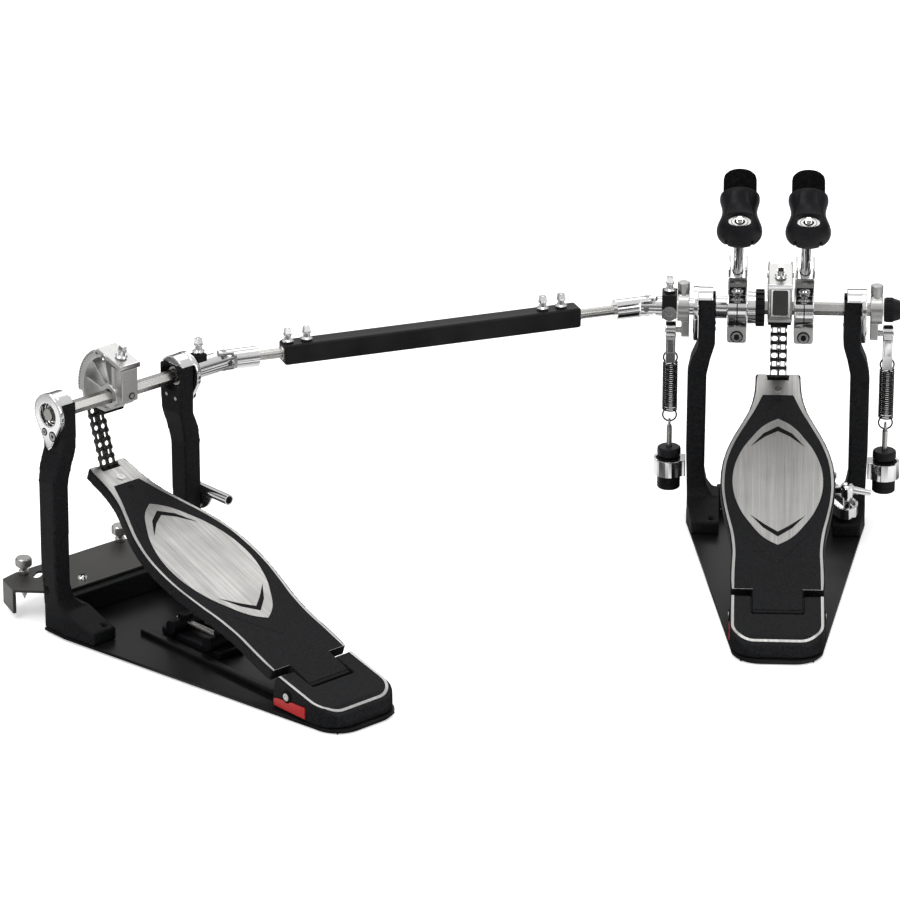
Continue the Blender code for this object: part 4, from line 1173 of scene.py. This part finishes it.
@dataclass
class Beater(Assembly):
    """A hub on the shaft, its rod, and the head with its felt."""

    x: float
    hub_body: str
    body: str
    head_centre: float = 95.5
    screw_height: float = -20.6
    window: float = -16.6
    window_half: float = 8.8
    window_squash: float = 0.62

    @property
    def rod_line(self) -> Matrix:
        """The rod's frame: Z runs up the rod and Y towards the felt."""
        return shift(self.x, -20.0, SHAFT_HEIGHT + 38.0) @ Matrix.Rotation(ROD_LEAN, 4, "X")

    def build(self) -> None:
        """Makes every piece."""
        self.hub()
        rod = Solid.rod((0, 0, -22.5), (0, 0, self.head_centre - 5.0), 3.8, sides=36).edged(0.4)
        self.piece("rod").add(rod, CHROME, self.rod_line).ride(self.body, f"{self.word}_beater_rod")
        self.head()
        self.felt()

    def hub(self) -> None:
        """The clamp on the shaft and the block that holds the rod."""
        made = self.piece("hub").add(self.packed("beater_hub", 0.45), CHROME)
        axis = shift(self.x, 0.0, SHAFT_HEIGHT)
        tab = both_sides([(6.4, -25.8), (7.4, -24.4), (7.6, -8.0)])
        made.add(Solid.slab(tab, -5.0, 9.8, Plane.XZ).edged(0.9, 3), SOFT_CHROME, axis)
        z = self.screw_height
        made.add(Solid.rod((0, -9.7, z), (0, -10.1, z), 4.9, sides=32), RUBBER, axis)
        screws(made, 4.0, 2.0, [((0, -9.8, z), (0, -1, 0))], CHROME, axis)
        made.add(Solid.rod((0, -11.6, z), (0, -11.95, z), 2.3, sides=6), RUBBER, axis)
        split = arc((0, 0), 16.15, 148, 206, 16) + arc((0, 0), 15.0, 206, 148, 16)
        made.add(Solid.slab(split, -0.4, 0.4, Plane.YZ), RUBBER, axis)
        brow = [(-5.6, -11.0), (-9.2, -11.0), (-9.2, -10.0), (-5.6, -2.4)]
        made.add(Solid.slab(brow, -7.3, 7.3, Plane.YZ).edged(0.4), SOFT_CHROME, self.rod_line)
        made.add(Solid.block((-6.4, -8.2, -27.0), (6.4, -7.0, -11.2)).edged(0.3), RUBBER, self.rod_line)
        bolts(made, 6.5, 4.6, 5.6, [((0, -8.0, -17.5), (0, -1, 0))], self.rod_line)
        for side in (-1, 1):
            low, high = span(side, 5.4, 7.3)
            made.add(Solid.block((low, -6.5, -4.0), (high, 6.5, 12.5)).edged(0.8), CHROME, self.rod_line)
        made.ride(self.hub_body, f"{self.word}_beater_hub")

    def head(self) -> None:
        """The waisted moulding with its raised panel, slits, window and key bolt."""
        profile = [(15.0, 10.6), (15.0, 7.6), (14.2, 4.2), (13.4, 0.8), (13.2, -2.6), (13.8, -6.4),
                   (15.4, -10.8), (16.7, -14.6), (17.2, -18.0), (16.6, -21.4), (14.6, -24.2), (11.0, -26.2)]
        line = [(0.0, 12.7), (13.4, 12.7), (14.7, 11.8)] + curve_through(profile, 3)
        line += [(6.0, -27.2), (0.0, -27.5)]
        upright = turn(-90, "X")
        body = Solid.lathe(line, 56).moved(upright)
        fuller = Solid.lathe([(r + (1.1 if r > 10 else 0.0), h) for r, h in line], 56).moved(upright)
        wedge = [(6.0, 11.4), (9.6, -10.8), (-9.6, -10.8), (-6.0, 11.4)]
        panel = fuller.within(Solid.slab(wedge, 4.0, 22.0))
        ring = arc((0, 0), self.window_half, 0, 360, 36)[:-1]
        oval = [(x, self.window + y * self.window_squash) for x, y in ring]
        cuts = [Solid.slab(oval, 12.4, 22.0)]
        for side in (-1, 1):
            low, high = span(side, 8.6, 10.2)
            cuts.append(Solid.block((low, -30.0, -22.0), (high, -22.6, 1.0)))
        moulding = melted(body.joined(panel).cut(*cuts), 0.45, 2)
        centre = self.rod_line @ shift(z=self.head_centre)
        made = self.piece("head").add(moulding, PLASTIC, centre)
        for share, low, high, finish in ((0.97, 11.4, 12.6, SOFT_CHROME), (0.74, 12.5, 12.7, RUBBER),
                                         (0.69, 12.6, 12.9, SOFT_CHROME), (0.46, 12.8, 13.1, RUBBER)):
            dish = [(x * share, self.window + (y - self.window) * share) for x, y in oval]
            made.add(Solid.slab(dish, low, high).edged(0.15), finish, centre)
        bolts(made, 4.6, 2.6, 3.8, [((0, self.window + 0.4, 13.2), (0, 0, 1))], centre)
        made.ride(self.body, f"{self.word}_beater_head")

    def felt(self) -> None:
        """The felt, slightly swollen, with a rounded face."""
        profile = [(0.0, 30.8), (7.5, 30.6), (10.6, 29.8), (12.0, 28.2), (12.5, 25.8), (12.55, 21.0),
                   (12.5, 13.1), (0.0, 13.1)]
        centre = self.rod_line @ shift(z=self.head_centre) @ turn(-90, "X")
        made = self.piece("felt").add(Solid.lathe(profile, 64), FELT, centre)
        made.ride(self.body, f"{self.word}_beater_felt")


@dataclass
class SpringSet(Assembly):
    """A lever on the shaft and everything that hangs between it and the post's foot."""

    side: int
    shaft: str
    coil_low: float
    coil_high: float
    out: float = 83.8
    coil_radius: float = 5.3
    coil_pitch: float = 1.72
    wire: float = 0.66

    @property
    def x(self) -> float:
        """Where the spring hangs, across the pedal."""
        return self.side * self.out

    def build(self) -> None:
        """Makes every piece."""
        self.lever()
        self.coil()
        self.anchor()

    def lever(self) -> None:
        """The lever with its knurled screw, and the hanger on its pin."""
        made = self.piece("lever").add(self.packed("spring_lever", 0.45), SOFT_CHROME)
        head = [(0.0, 20.3), (4.1, 20.3), (4.6, 19.8), (4.6, 13.0), (4.1, 12.4), (2.8, 12.4), (2.8, 10.0),
                (0.0, 10.0)]
        up = shift(self.side * 74.3, 0.0, SHAFT_HEIGHT)
        made.add(Solid.lathe(head, 32), SOFT_CHROME, up)
        knurl = Ridges(sizes={"Along": 6.0, "Across": 0.6, "Proud": 0.7})
        knurl.round(made, 4.5, 16.4, 24, SOFT_CHROME, up)
        made.ride(self.shaft, f"{self.word}_spring_lever")
        hanger = self.piece("hanger").add(self.packed("spring_hanger", 0.35), CHROME)
        strip = Solid.block((self.x - 2.6, -4.0, 138.0), (self.x + 2.6, -3.0, 149.5)).edged(0.4)
        hanger.add(strip, CHROME)
        hanger.ride(f"{self.word}_hanger", f"{self.word}_spring_hanger")

    def coil(self) -> None:
        """The coil with a hooked loop at each end, set in place between the hanger and the eye bolt; it
        rides on no body.
        """
        x, radius = self.x, self.coil_radius
        made = self.piece("coil")
        height = self.coil_high - self.coil_low
        spring = Coil(sizes={"Radius": radius, "Height": height, "Turns": round(height / self.coil_pitch),
                             "Wire": self.wire})
        spring.on(made, (x, 0.0, self.coil_low), CHAIN)
        for centre, start, sign in ((self.coil_high + 4.2, -60, 1), (self.coil_low - 4.4, 120, -1)):
            loop = [(x + u, 0.0, centre + v) for u, v in arc((0, 0), radius, start, start + 300, 32)]
            tail = (x + radius * sign * 0.2, -1.0, centre - sign * 5.4)
            made.add(Solid.sweep([tail, *loop], self.wire, 8), CHAIN)
        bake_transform(made.rest(f"{self.word}_spring"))

    def anchor(self) -> None:
        """Eye bolt, tension knob, lower nut and the bracket on the post."""
        x = self.x
        bolt = self.piece("anchor_bolt")
        bolt.add(Solid.rod((x, 0, 26), (x, 0, 75.0), 2.15, sides=24), STEEL)
        bolt.add(Solid.rod((x, 0, 74.8), (x, 0, 77.5), 2.15, 1.5, sides=24), STEEL)
        eye = [(x, 2.7 * math.sin(a), 79.0 + 2.7 * math.cos(a))
               for a in (math.radians(d) for d in range(-170, 171, 17))]
        bolt.add(Solid.sweep(eye, 0.95, 10), STEEL)
        nut = [(2.3, 36.3), (8.2, 36.3), (9.0, 35.4), (9.0, 30.6), (8.5, 30.2), (8.5, 29.4), (9.0, 29.0),
               (9.0, 26.0), (8.3, 25.1), (2.3, 25.1)]
        bolt.add(Solid.lathe(nut, 40, ring=True), PLASTIC, shift(x))
        bolt.ride("master_stand", f"{self.word}_eye_bolt")
        knob = self.piece("knob")
        shape = [(2.5, 59.0), (8.0, 59.0), (8.9, 58.3), (9.2, 57.2), (9.2, 53.6), (8.8, 52.6), (7.2, 51.9),
                 (6.6, 50.4), (2.5, 50.3)]
        knob.add(Solid.lathe(shape, 40, ring=True), PLASTIC, shift(x))
        knob.ride(f"{self.word}_knob", f"{self.word}_tension_knob")
        ring = self.packed("spring_bracket", 0.45).cut(Solid.block((-110, -20, 30), (110, 20, 36.6)))
        bracket = self.piece("bracket").add(ring, CHROME)
        bush = [(2.9, 50.2), (8.6, 50.2), (9.9, 49.6), (9.9, 40.0), (2.9, 40.0)]
        bracket.add(Solid.lathe(bush, 32, ring=True), RUBBER, shift(x))
        screws(bracket, 3.4, 1.8, [((self.side * 57.9, 0.0, 41.5), (-self.side, 0.0, 0.0))], CHROME)
        bracket.ride("master_stand", f"{self.word}_spring_bracket")


@dataclass
class Drive:
    """Shafts, the left sleeve, the two universal joints and the telescopic tube."""

    reach: float = 4.2
    slot: float = 5.0
    arm: float = 3.8
    radius: float = 7.8
    link_length: float = 342.746
    tube_ends: Flat = (46.3, 286.0)
    tube_bolts: tuple[float, ...] = (51.0, 66.0, 257.0, 272.0)
    master_joint: float = -102.9
    slave_joint: float = 101.4

    def build(self) -> None:
        """Makes every piece."""
        self.shafts()
        self.sleeve()
        self.collar("master", Place.MASTER.value, self.master_joint, "left_sleeve")
        self.collar("slave", Place.SLAVE.value, self.slave_joint, "slave_shaft")
        self.tube()

    def shafts(self) -> None:
        """The two hexagonal shafts and the ribbed end knob."""
        for word, body, place, low, high in (("master", "right_shaft", Place.MASTER.value, -44.0, 79.5),
                                             ("slave", "slave_shaft", Place.SLAVE.value, -66.5, 77.5)):
            bar = Solid.rod((low, 0, SHAFT_HEIGHT), (high, 0, SHAFT_HEIGHT), 5.2, sides=6)
            Piece(f"{word}_hexagon", place).add(bar, STEEL).ride(body, f"{word}_hex_shaft")
        knob = [(0.0, 93.0), (6.4, 93.0), (7.4, 92.4), (9.0, 87.5), (9.2, 84.0), (9.2, 80.4), (8.8, 80.1),
                (0.0, 80.1)]
        spin = shift(z=SHAFT_HEIGHT) @ turn(90, "Y")
        made = Piece("ribbed_knob", Place.MASTER.value).add(Solid.lathe(knob, 40), PLASTIC, spin)
        Ridges(sizes={"Along": 5.6, "Across": 1.0, "Proud": 0.9}).round(made, 9.2, 84.2, 26, PLASTIC, spin)
        made.ride("right_shaft", "shaft_end_knob")

    def sleeve(self) -> None:
        """The stepped tube that carries the left beater, with its ribbed black ring."""
        profile = [(5.5, -14.5), (12.2, -14.5), (12.5, -25.0), (6.5, -25.1), (6.5, -40.8), (8.5, -40.9),
                   (8.8, -41.2), (8.8, -49.1), (8.5, -49.4), (6.5, -49.4), (6.5, -79.0), (5.5, -79.0)]
        spin = shift(z=SHAFT_HEIGHT) @ turn(90, "Y")
        made = Piece("sleeve", Place.MASTER.value).add(Solid.lathe(profile, 40, ring=True), CHROME, spin)
        ring = [(5.7, -11.8), (12.6, -11.8), (13.2, -12.3), (13.2, -18.4), (12.6, -18.9), (5.7, -18.9)]
        made.add(Solid.lathe(ring, 40, ring=True), PLASTIC, spin)
        teeth = Ridges(sizes={"Along": 6.6, "Across": 2.8, "Proud": 2.4})
        teeth.round(made, 13.2, -15.3, 16, PLASTIC, spin)
        made.ride("left_sleeve", "left_drive_sleeve")

    def fork(self, start: float, centre: float, level: bool) -> Solid:
        """A forked bar along X whose two arms hold a pin.

        Args:
            start: Where the bar starts.
            centre: The joint's centre.
            level: True if the pin lies along Y, False if it lies along Z.

        Returns:
            The fork, centred on the X axis.
        """
        side = 1 if centre > start else -1
        bar = Solid.rod((start, 0, 0), (centre + side * self.reach, 0, 0), self.radius, sides=44)
        away = side * 8.6
        near, far = sorted((centre - away, centre + side * 20))
        tools = [Solid.block((near, -20, -self.slot), (far, 20, self.slot))]
        low, high = sorted((centre - side * 7.0, centre + side * 20))
        for sign in (-1, 1):
            inner, outer = span(sign, self.arm, 20.0)
            tools.append(Solid.block((low, inner, -20), (high, outer, 20)))
        made = bar.cut(*tools).edged(0.5, 2)
        for sign in (-1, 1):
            near, far = sign * (self.slot + 0.1), sign * (self.radius + 0.1)
            pin = Solid.rod((centre, 0, near), (centre, 0, far), 2.3, sides=24)
            mesh = bpy.data.meshes.new("pin")
            pin.bm.to_mesh(mesh)
            made.bm.from_mesh(mesh)
        return made.moved(turn(90, "X")) if level else made

    def collar(self, word: str, place: Matrix, centre: float, body: str) -> None:
        """The black collar block with its bolts, the fork and the cross."""
        side = 1 if centre > 0 else -1
        inner, outer = centre - side * 23.6, centre - side * 12.0
        low, high = sorted((inner, outer))
        axis = shift(z=SHAFT_HEIGHT)
        made = Piece(f"{word}_collar", place)
        middle = (inner + outer) / 2
        if word == "master":
            made.add(self.fork(outer - side * 2.0, centre, True), CHROME, axis)
            made.add(Solid.block((low, -9.0, -7.4), (high, 9.0, 12.0)).edged(1.0, 3), SATIN, axis)
            screws(made, 5.9, 1.8, [((middle, -9.0, -2.6), (0, -1, 0))], CHROME, axis)
        else:
            middle = inner - side * 0.6
            made.add(self.fork(inner - side * 4.6, centre, True), CHROME, axis)
            made.add(Solid.block((middle - 4.6, -4.8, 5.0), (middle + 4.6, 4.8, 12.0)).edged(0.8, 3), SATIN,
                     axis)
        bolts(made, 12.5, 4.8, 5.4, [((middle, 0, 12.0), (0, 0, 1))], axis)
        made.ride(body, f"{word}_joint_yoke")
        cross = Piece(f"{word}_cross", place)
        at = shift(centre, 0, SHAFT_HEIGHT)
        cross.add(Solid.block((-3.2, -3.2, -3.2), (3.2, 3.2, 3.2)).edged(0.5), STEEL, at)
        cross.add(Solid.rod((0, -4.7, 0), (0, 4.7, 0), 2.2, sides=24), STEEL, at)
        cross.add(Solid.rod((0, 0, -4.2), (0, 0, 4.2), 2.2, sides=24), STEEL, at)
        cross.ride(body, f"{word}_joint_cross")

    def tube(self) -> None:
        """The square tube with its four bolts, and the forked rods in its ends."""
        place = Place.LINK.value
        length = self.link_length
        start, stop = self.tube_ends
        made = Piece("square_tube", place)
        made.add(Solid.block((start, -8, -8), (stop, 8, 8)).edged(2.0, 4), SATIN)
        for end, side in ((start, -1), (stop, 1)):
            collar = Solid.rod((end - side * 1.0, 0, 0), (end + side * 1.0, 0, 0), 5.6, 5.2, 32)
            made.add(collar, STEEL)
        bolts(made, 11.5, 4.8, 5.4, [((x, 0, 8.0), (0, 0, 1)) for x in self.tube_bolts])
        made.ride("link", "link_tube")
        slave = Piece("slave_side_rod", place).add(self.fork(26.5, 0.0, False), CHROME)
        slave.add(Solid.rod((26.0, 0, 0), (115.0, 0, 0), 3.8, sides=32), STEEL)
        slave.ride("slave_link", "link_rod_slave_end")
        master = Piece("master_side_rod", place).add(self.fork(length - 26.5, length, False), CHROME)
        master.add(Solid.rod((length - 26.0, 0, 0), (length - 115.0, 0, 0), 3.8, sides=32), STEEL)
        master.ride("link", "link_rod_master_end")


@dataclass
class Extras:
    """Pieces that only one of the pedals has."""

    plate_screw: Point = (-21.0, 22.0, 24.8)
    spikes: tuple[Flat, ...] = ((-48.0, 59.0), (45.5, 60.0))
    open_tube: Flat = (71.5, 82.0)

    def build(self) -> None:
        """Makes every piece."""
        self.hoop_clamp()
        self.stabiliser()
        self.under_board()
        self.spare_tube()

    def hoop_clamp(self) -> None:
        """The cupped arm on the master's right foot, and its wing bolt."""
        made = Piece("clamp_arm", Place.MASTER.value)
        made.add(melted(Solid.packed("hoop_clamp_arm", Place.MASTER.value), 0.45, 2), CHROME)
        stack = [(0.0, 13.0), (3.4, 13.0), (4.4, 12.2), (4.4, 8.8), (3.6, 8.4), (3.6, 5.0), (4.8, 4.6),
                 (4.8, 0.0), (0.0, 0.0)]
        made.add(Solid.lathe(stack, 32), SOFT_CHROME, shift(43.0, 10.5, 22.0))
        made.ride("master_stand", "hoop_clamp_arm")
        seat = shift(54.5, -35.0, 19.2) @ turn(15, "X")
        bolt = Piece("wing_bolt", Place.MASTER.value)
        stem = [(0.0, 28.4), (3.6, 28.2), (5.2, 27.0), (5.4, 24.0), (5.0, 18.5), (3.4, 17.2), (2.7, 17.0),
                (2.7, 2.9), (0.0, 2.9)]
        bolt.add(Solid.lathe(stem, 36), CHROME, seat)
        for side in (-1, 1):
            wing = Solid.rod((side * 3.0, 0, 23.5), (side * 18.5, 0, 20.5), 3.3, 2.1, 24).edged(0.8)
            bolt.add(wing, CHROME, seat)
        bolt.ride("wing_bolt", "clamp_wing_bolt")

    def stabiliser(self) -> None:
        """The side plate with its screws and carpet spikes."""
        place = Place.SLAVE.value
        made = Piece("side_plate", place)
        made.add(melted(Solid.packed("slave_stabiliser_plate", place), 0.6, 1), PLATE_GREY)
        dome = [(0.0, 3.0), (2.0, 2.8), (3.6, 1.9), (4.3, 0.6), (4.4, 0.0), (0.0, 0.0)]
        made.add(Solid.lathe(dome, 32), CHROME, shift(*self.plate_screw))
        for spin in (20, 110):
            slot = Solid.block((-2.6, -0.45, 2.2), (2.6, 0.45, 3.1))
            made.add(slot, RUBBER, shift(*self.plate_screw) @ turn(spin, "Z"))
        spike = [(0.0, 38.0), (5.4, 38.0), (6.0, 37.2), (6.0, 31.6), (5.2, 30.8), (3.0, 30.4),
                 (2.4, 29.0), (3.8, 27.6), (3.8, 25.2), (2.3, 25.0), (2.3, 9.0), (0.0, 4.0)]
        knurl = Ridges(sizes={"Along": 4.6, "Across": 0.7, "Proud": 0.6})
        for spot in self.spikes:
            made.add(Solid.lathe(spike, 32), SOFT_CHROME, shift(*spot))
            knurl.round(made, 6.0, 34.4, 26, SOFT_CHROME, shift(*spot))
        made.ride("slave_stand", "slave_stabiliser_plate")

    def under_board(self) -> None:
        """The tool clip on the slave's base plate."""
        made = Piece("tool_clip", Place.SLAVE.value)
        made.add(Solid.block((-12.0, -128.0, 4.1), (12.0, -60.0, 10.0)).edged(1.4, 3), PLASTIC)
        for y in (-116.0, -74.0):
            made.add(Solid.rod((-15.0, y, 14.0), (15.0, y, 14.0), 5.4, sides=32).edged(0.8), PLASTIC)
            made.add(Solid.block((-5.0, y - 4.0, 8.0), (5.0, y + 4.0, 22.0)).edged(1.2), PLASTIC)
        made.add(Solid.rod((0, -120.0, 15.0), (0, -66.0, 15.0), 2.6, sides=24), STEEL)
        made.ride("slave_stand")

    def spare_tube(self) -> None:
        """The open tube beside the slave's right post, with its fin."""
        made = Piece("open_tube", Place.SLAVE.value)
        wall = [(3.0, 0.0), (4.1, 0.0), (4.3, 0.4), (4.3, 5.0), (4.0, 5.3), (4.0, 42.0), (3.0, 42.0)]
        x, z = self.open_tube
        at = shift(x, 2.0, z) @ turn(90, "X")
        made.add(Solid.lathe(wall, 32, ring=True), CHROME, at)
        made.add(Solid.lathe([(0.0, 6.0), (3.1, 6.0), (3.1, 8.0), (0.0, 8.0)], 24), RUBBER,
                 shift(x, -32.0, z) @ turn(90, "X"))
        fin = [(-3.0, z), *arc((-3.0, z), 17.0, 180, 270, 12)]
        made.add(Solid.slab(fin, 70.4, 72.6, Plane.YZ).edged(0.5), SOFT_CHROME)
        made.add(Solid.rod((69.0, -6.0, 68.0), (74.5, -6.0, 68.0), 3.0, sides=6).edged(0.4), SOFT_CHROME)
        made.ride("slave_stand")


# The room -----------------------------------------------------------------------------------------
@dataclass
class Studio:
    """Floor, soft lights and the camera."""

    lens: float = 224.3
    azimuth: float = -2.76
    elevation: float = 21.92
    spot: Point = (-0.059, -4.06, 1.688)
    lamps: tuple[tuple[str, Point, float, float], ...] = (
        ("key", (-1.6, -1.4, 2.4), 1.6, 26.0), ("fill", (1.9, -1.2, 1.7), 1.4, 12.0),
        ("back", (0.2, 2.4, 2.2), 2.0, 14.0), ("top", (-0.2, -0.1, 2.6), 1.2, 8.0))
    lit_spot: Point = (-0.25, -0.1, 0.12)

    def build(self) -> None:
        """Makes the room."""
        self.floor()
        self.sky()
        for name, spot, size, power in self.lamps:
            self.lamp(name, spot, size, power)
        self.camera()

    def floor(self) -> None:
        """A wide pale floor, evenly bright to the camera, with a painted reflection: glossy rays see soft
        noise patches of dark and light, which the metal reflects.
        """
        bm = bmesh.new()
        bmesh.ops.create_grid(bm, x_segments=1, y_segments=1, size=12.0)
        mesh = bpy.data.meshes.new("floor")
        bm.to_mesh(mesh)
        floor = loose_object(mesh, "floor")
        pale = bpy.data.materials.new("pale_floor")
        pale.use_nodes = True
        shader = pale.node_tree.nodes["Principled BSDF"]
        shader.inputs["Roughness"].default_value = 0.75
        shader.inputs["Specular IOR Level"].default_value = 0.1
        graph = Graph(pale.node_tree)
        way = graph.node("ShaderNodeTexCoord", output="Object")
        # Painted reflection: a noise pattern shown only to glossy rays, so the metal reflects dark and
        # light patches that the camera never sees on the floor.
        painted_reflection_noise = graph.node("ShaderNodeTexNoise", {}, {"Vector": way, "Scale": 6.0, "Detail": 1.0})
        shade = graph.node("ShaderNodeValToRGB", {"stops": ((0.42, 0.05), (0.58, 0.75))}, {"Fac": painted_reflection_noise})
        mirrored = graph.node("ShaderNodeLightPath", output="Is Glossy Ray")
        # Camera and diffuse rays get the plain pale colour; glossy rays get the painted reflection shade.
        colour = graph.node("ShaderNodeMix", {"data_type": "RGBA"},
                            {0: mirrored, 6: (0.93, 0.93, 0.93, 1.0), 7: shade}, output=2)
        # The emission takes the same colour, so the painted reflection patches also glow in what the metal
        # reflects, while the camera sees an evenly bright floor.
        for name in ("Base Color", "Emission Color"):
            pale.node_tree.links.new(colour.socket, shader.inputs[name])
        shader.inputs["Emission Strength"].default_value = 0.5
        mesh.materials.append(pale)

    def sky(self) -> None:
        """A room that is bright above and dark round the horizon, for the metal to reflect."""
        world = bpy.data.worlds.new("room")
        world.use_nodes = True
        bpy.context.scene.world = world
        graph = Graph(world.node_tree)
        way = graph.node("ShaderNodeTexCoord", output="Generated")
        parts = graph.node("ShaderNodeSeparateXYZ", {}, {"Vector": way}, output="Z")
        stops = ((0.0, 0.50), (0.06, 0.06), (0.22, 0.16), (0.45, 0.62), (0.9, 0.80))
        shade = graph.node("ShaderNodeValToRGB", {"stops": stops}, {"Fac": parts})
        back = world.node_tree.nodes["Background"]
        world.node_tree.links.new(shade.socket, back.inputs["Color"])
        back.inputs["Strength"].default_value = 1.0

    def lamp(self, name: str, spot: Point, size: float, power: float) -> None:
        """A square soft light aimed at the middle of the object."""
        data = bpy.data.lights.new(name, "AREA")
        data.shape = "SQUARE"
        data.size = size
        data.energy = power
        lamp = bpy.data.objects.new(name, data)
        bpy.context.scene.collection.objects.link(lamp)
        lamp.location = spot
        aim = Vector(self.lit_spot) - Vector(spot)
        lamp.rotation_euler = aim.to_track_quat("-Z", "Y").to_euler()

    def camera(self) -> None:
        """A long lens from the front, a little above."""
        data = bpy.data.cameras.new("camera")
        data.lens = self.lens
        data.sensor_width = 36.0
        data.clip_end = 50.0
        camera = bpy.data.objects.new("camera", data)
        bpy.context.scene.collection.objects.link(camera)
        camera.location = self.spot
        side, down = math.radians(self.azimuth), math.radians(self.elevation)
        way = Vector((math.sin(side) * math.cos(down), math.cos(side) * math.cos(down), -math.sin(down)))
        camera.rotation_euler = way.to_track_quat("-Z", "Y").to_euler()
        bpy.context.scene.camera = camera
        bpy.context.scene.view_settings.view_transform = "Standard"


def dress_packed_nodes() -> None:
    """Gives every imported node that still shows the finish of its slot."""
    by_slot = {finish.slot: finish for finish in (SATIN, POWDER, CHROME, STEEL, CAST, CHAIN, PLASTIC, FELT)}
    slots = {part["node"]: part["material_slot"] for part in frame["record"]["subparts"]}
    for name, node in frame["nodes"].items():
        if node.hide_render:
            continue
        finish = by_slot[slots[name]]
        for slot in node.material_slots:
            slot.material = finish.material()
        LOG.info("%s keeps its packed shape in %s", name, finish.name)


def main() -> None:
    """Builds the whole object and its room, in order."""
    logging.basicConfig(level=logging.INFO, format="%(name)s: %(message)s")
    Pedal("master", Place.MASTER.value, "master_stand", "right_shaft", "master_board", "master_chain",
          BRUSHED, lid_drop=2.6).build()
    Pedal("slave", Place.SLAVE.value, "slave_stand", "slave_shaft", "slave_board", "slave_chain",
          BRUSHED_TURNED).build()
    master = Place.MASTER.value
    Beater("right", master, 18.4, "right_shaft", "right_beater").build()
    Beater("left", master, -33.0, "left_sleeve", "left_beater").build()
    SpringSet("right", master, 1, "right_shaft", 86.5, 126.0).build()
    SpringSet("left", master, -1, "left_sleeve", 90.0, 129.0).build()
    Drive().build()
    Extras().build()
    dress_packed_nodes()
    Studio().build()


if __name__ == "__main__":
    main()
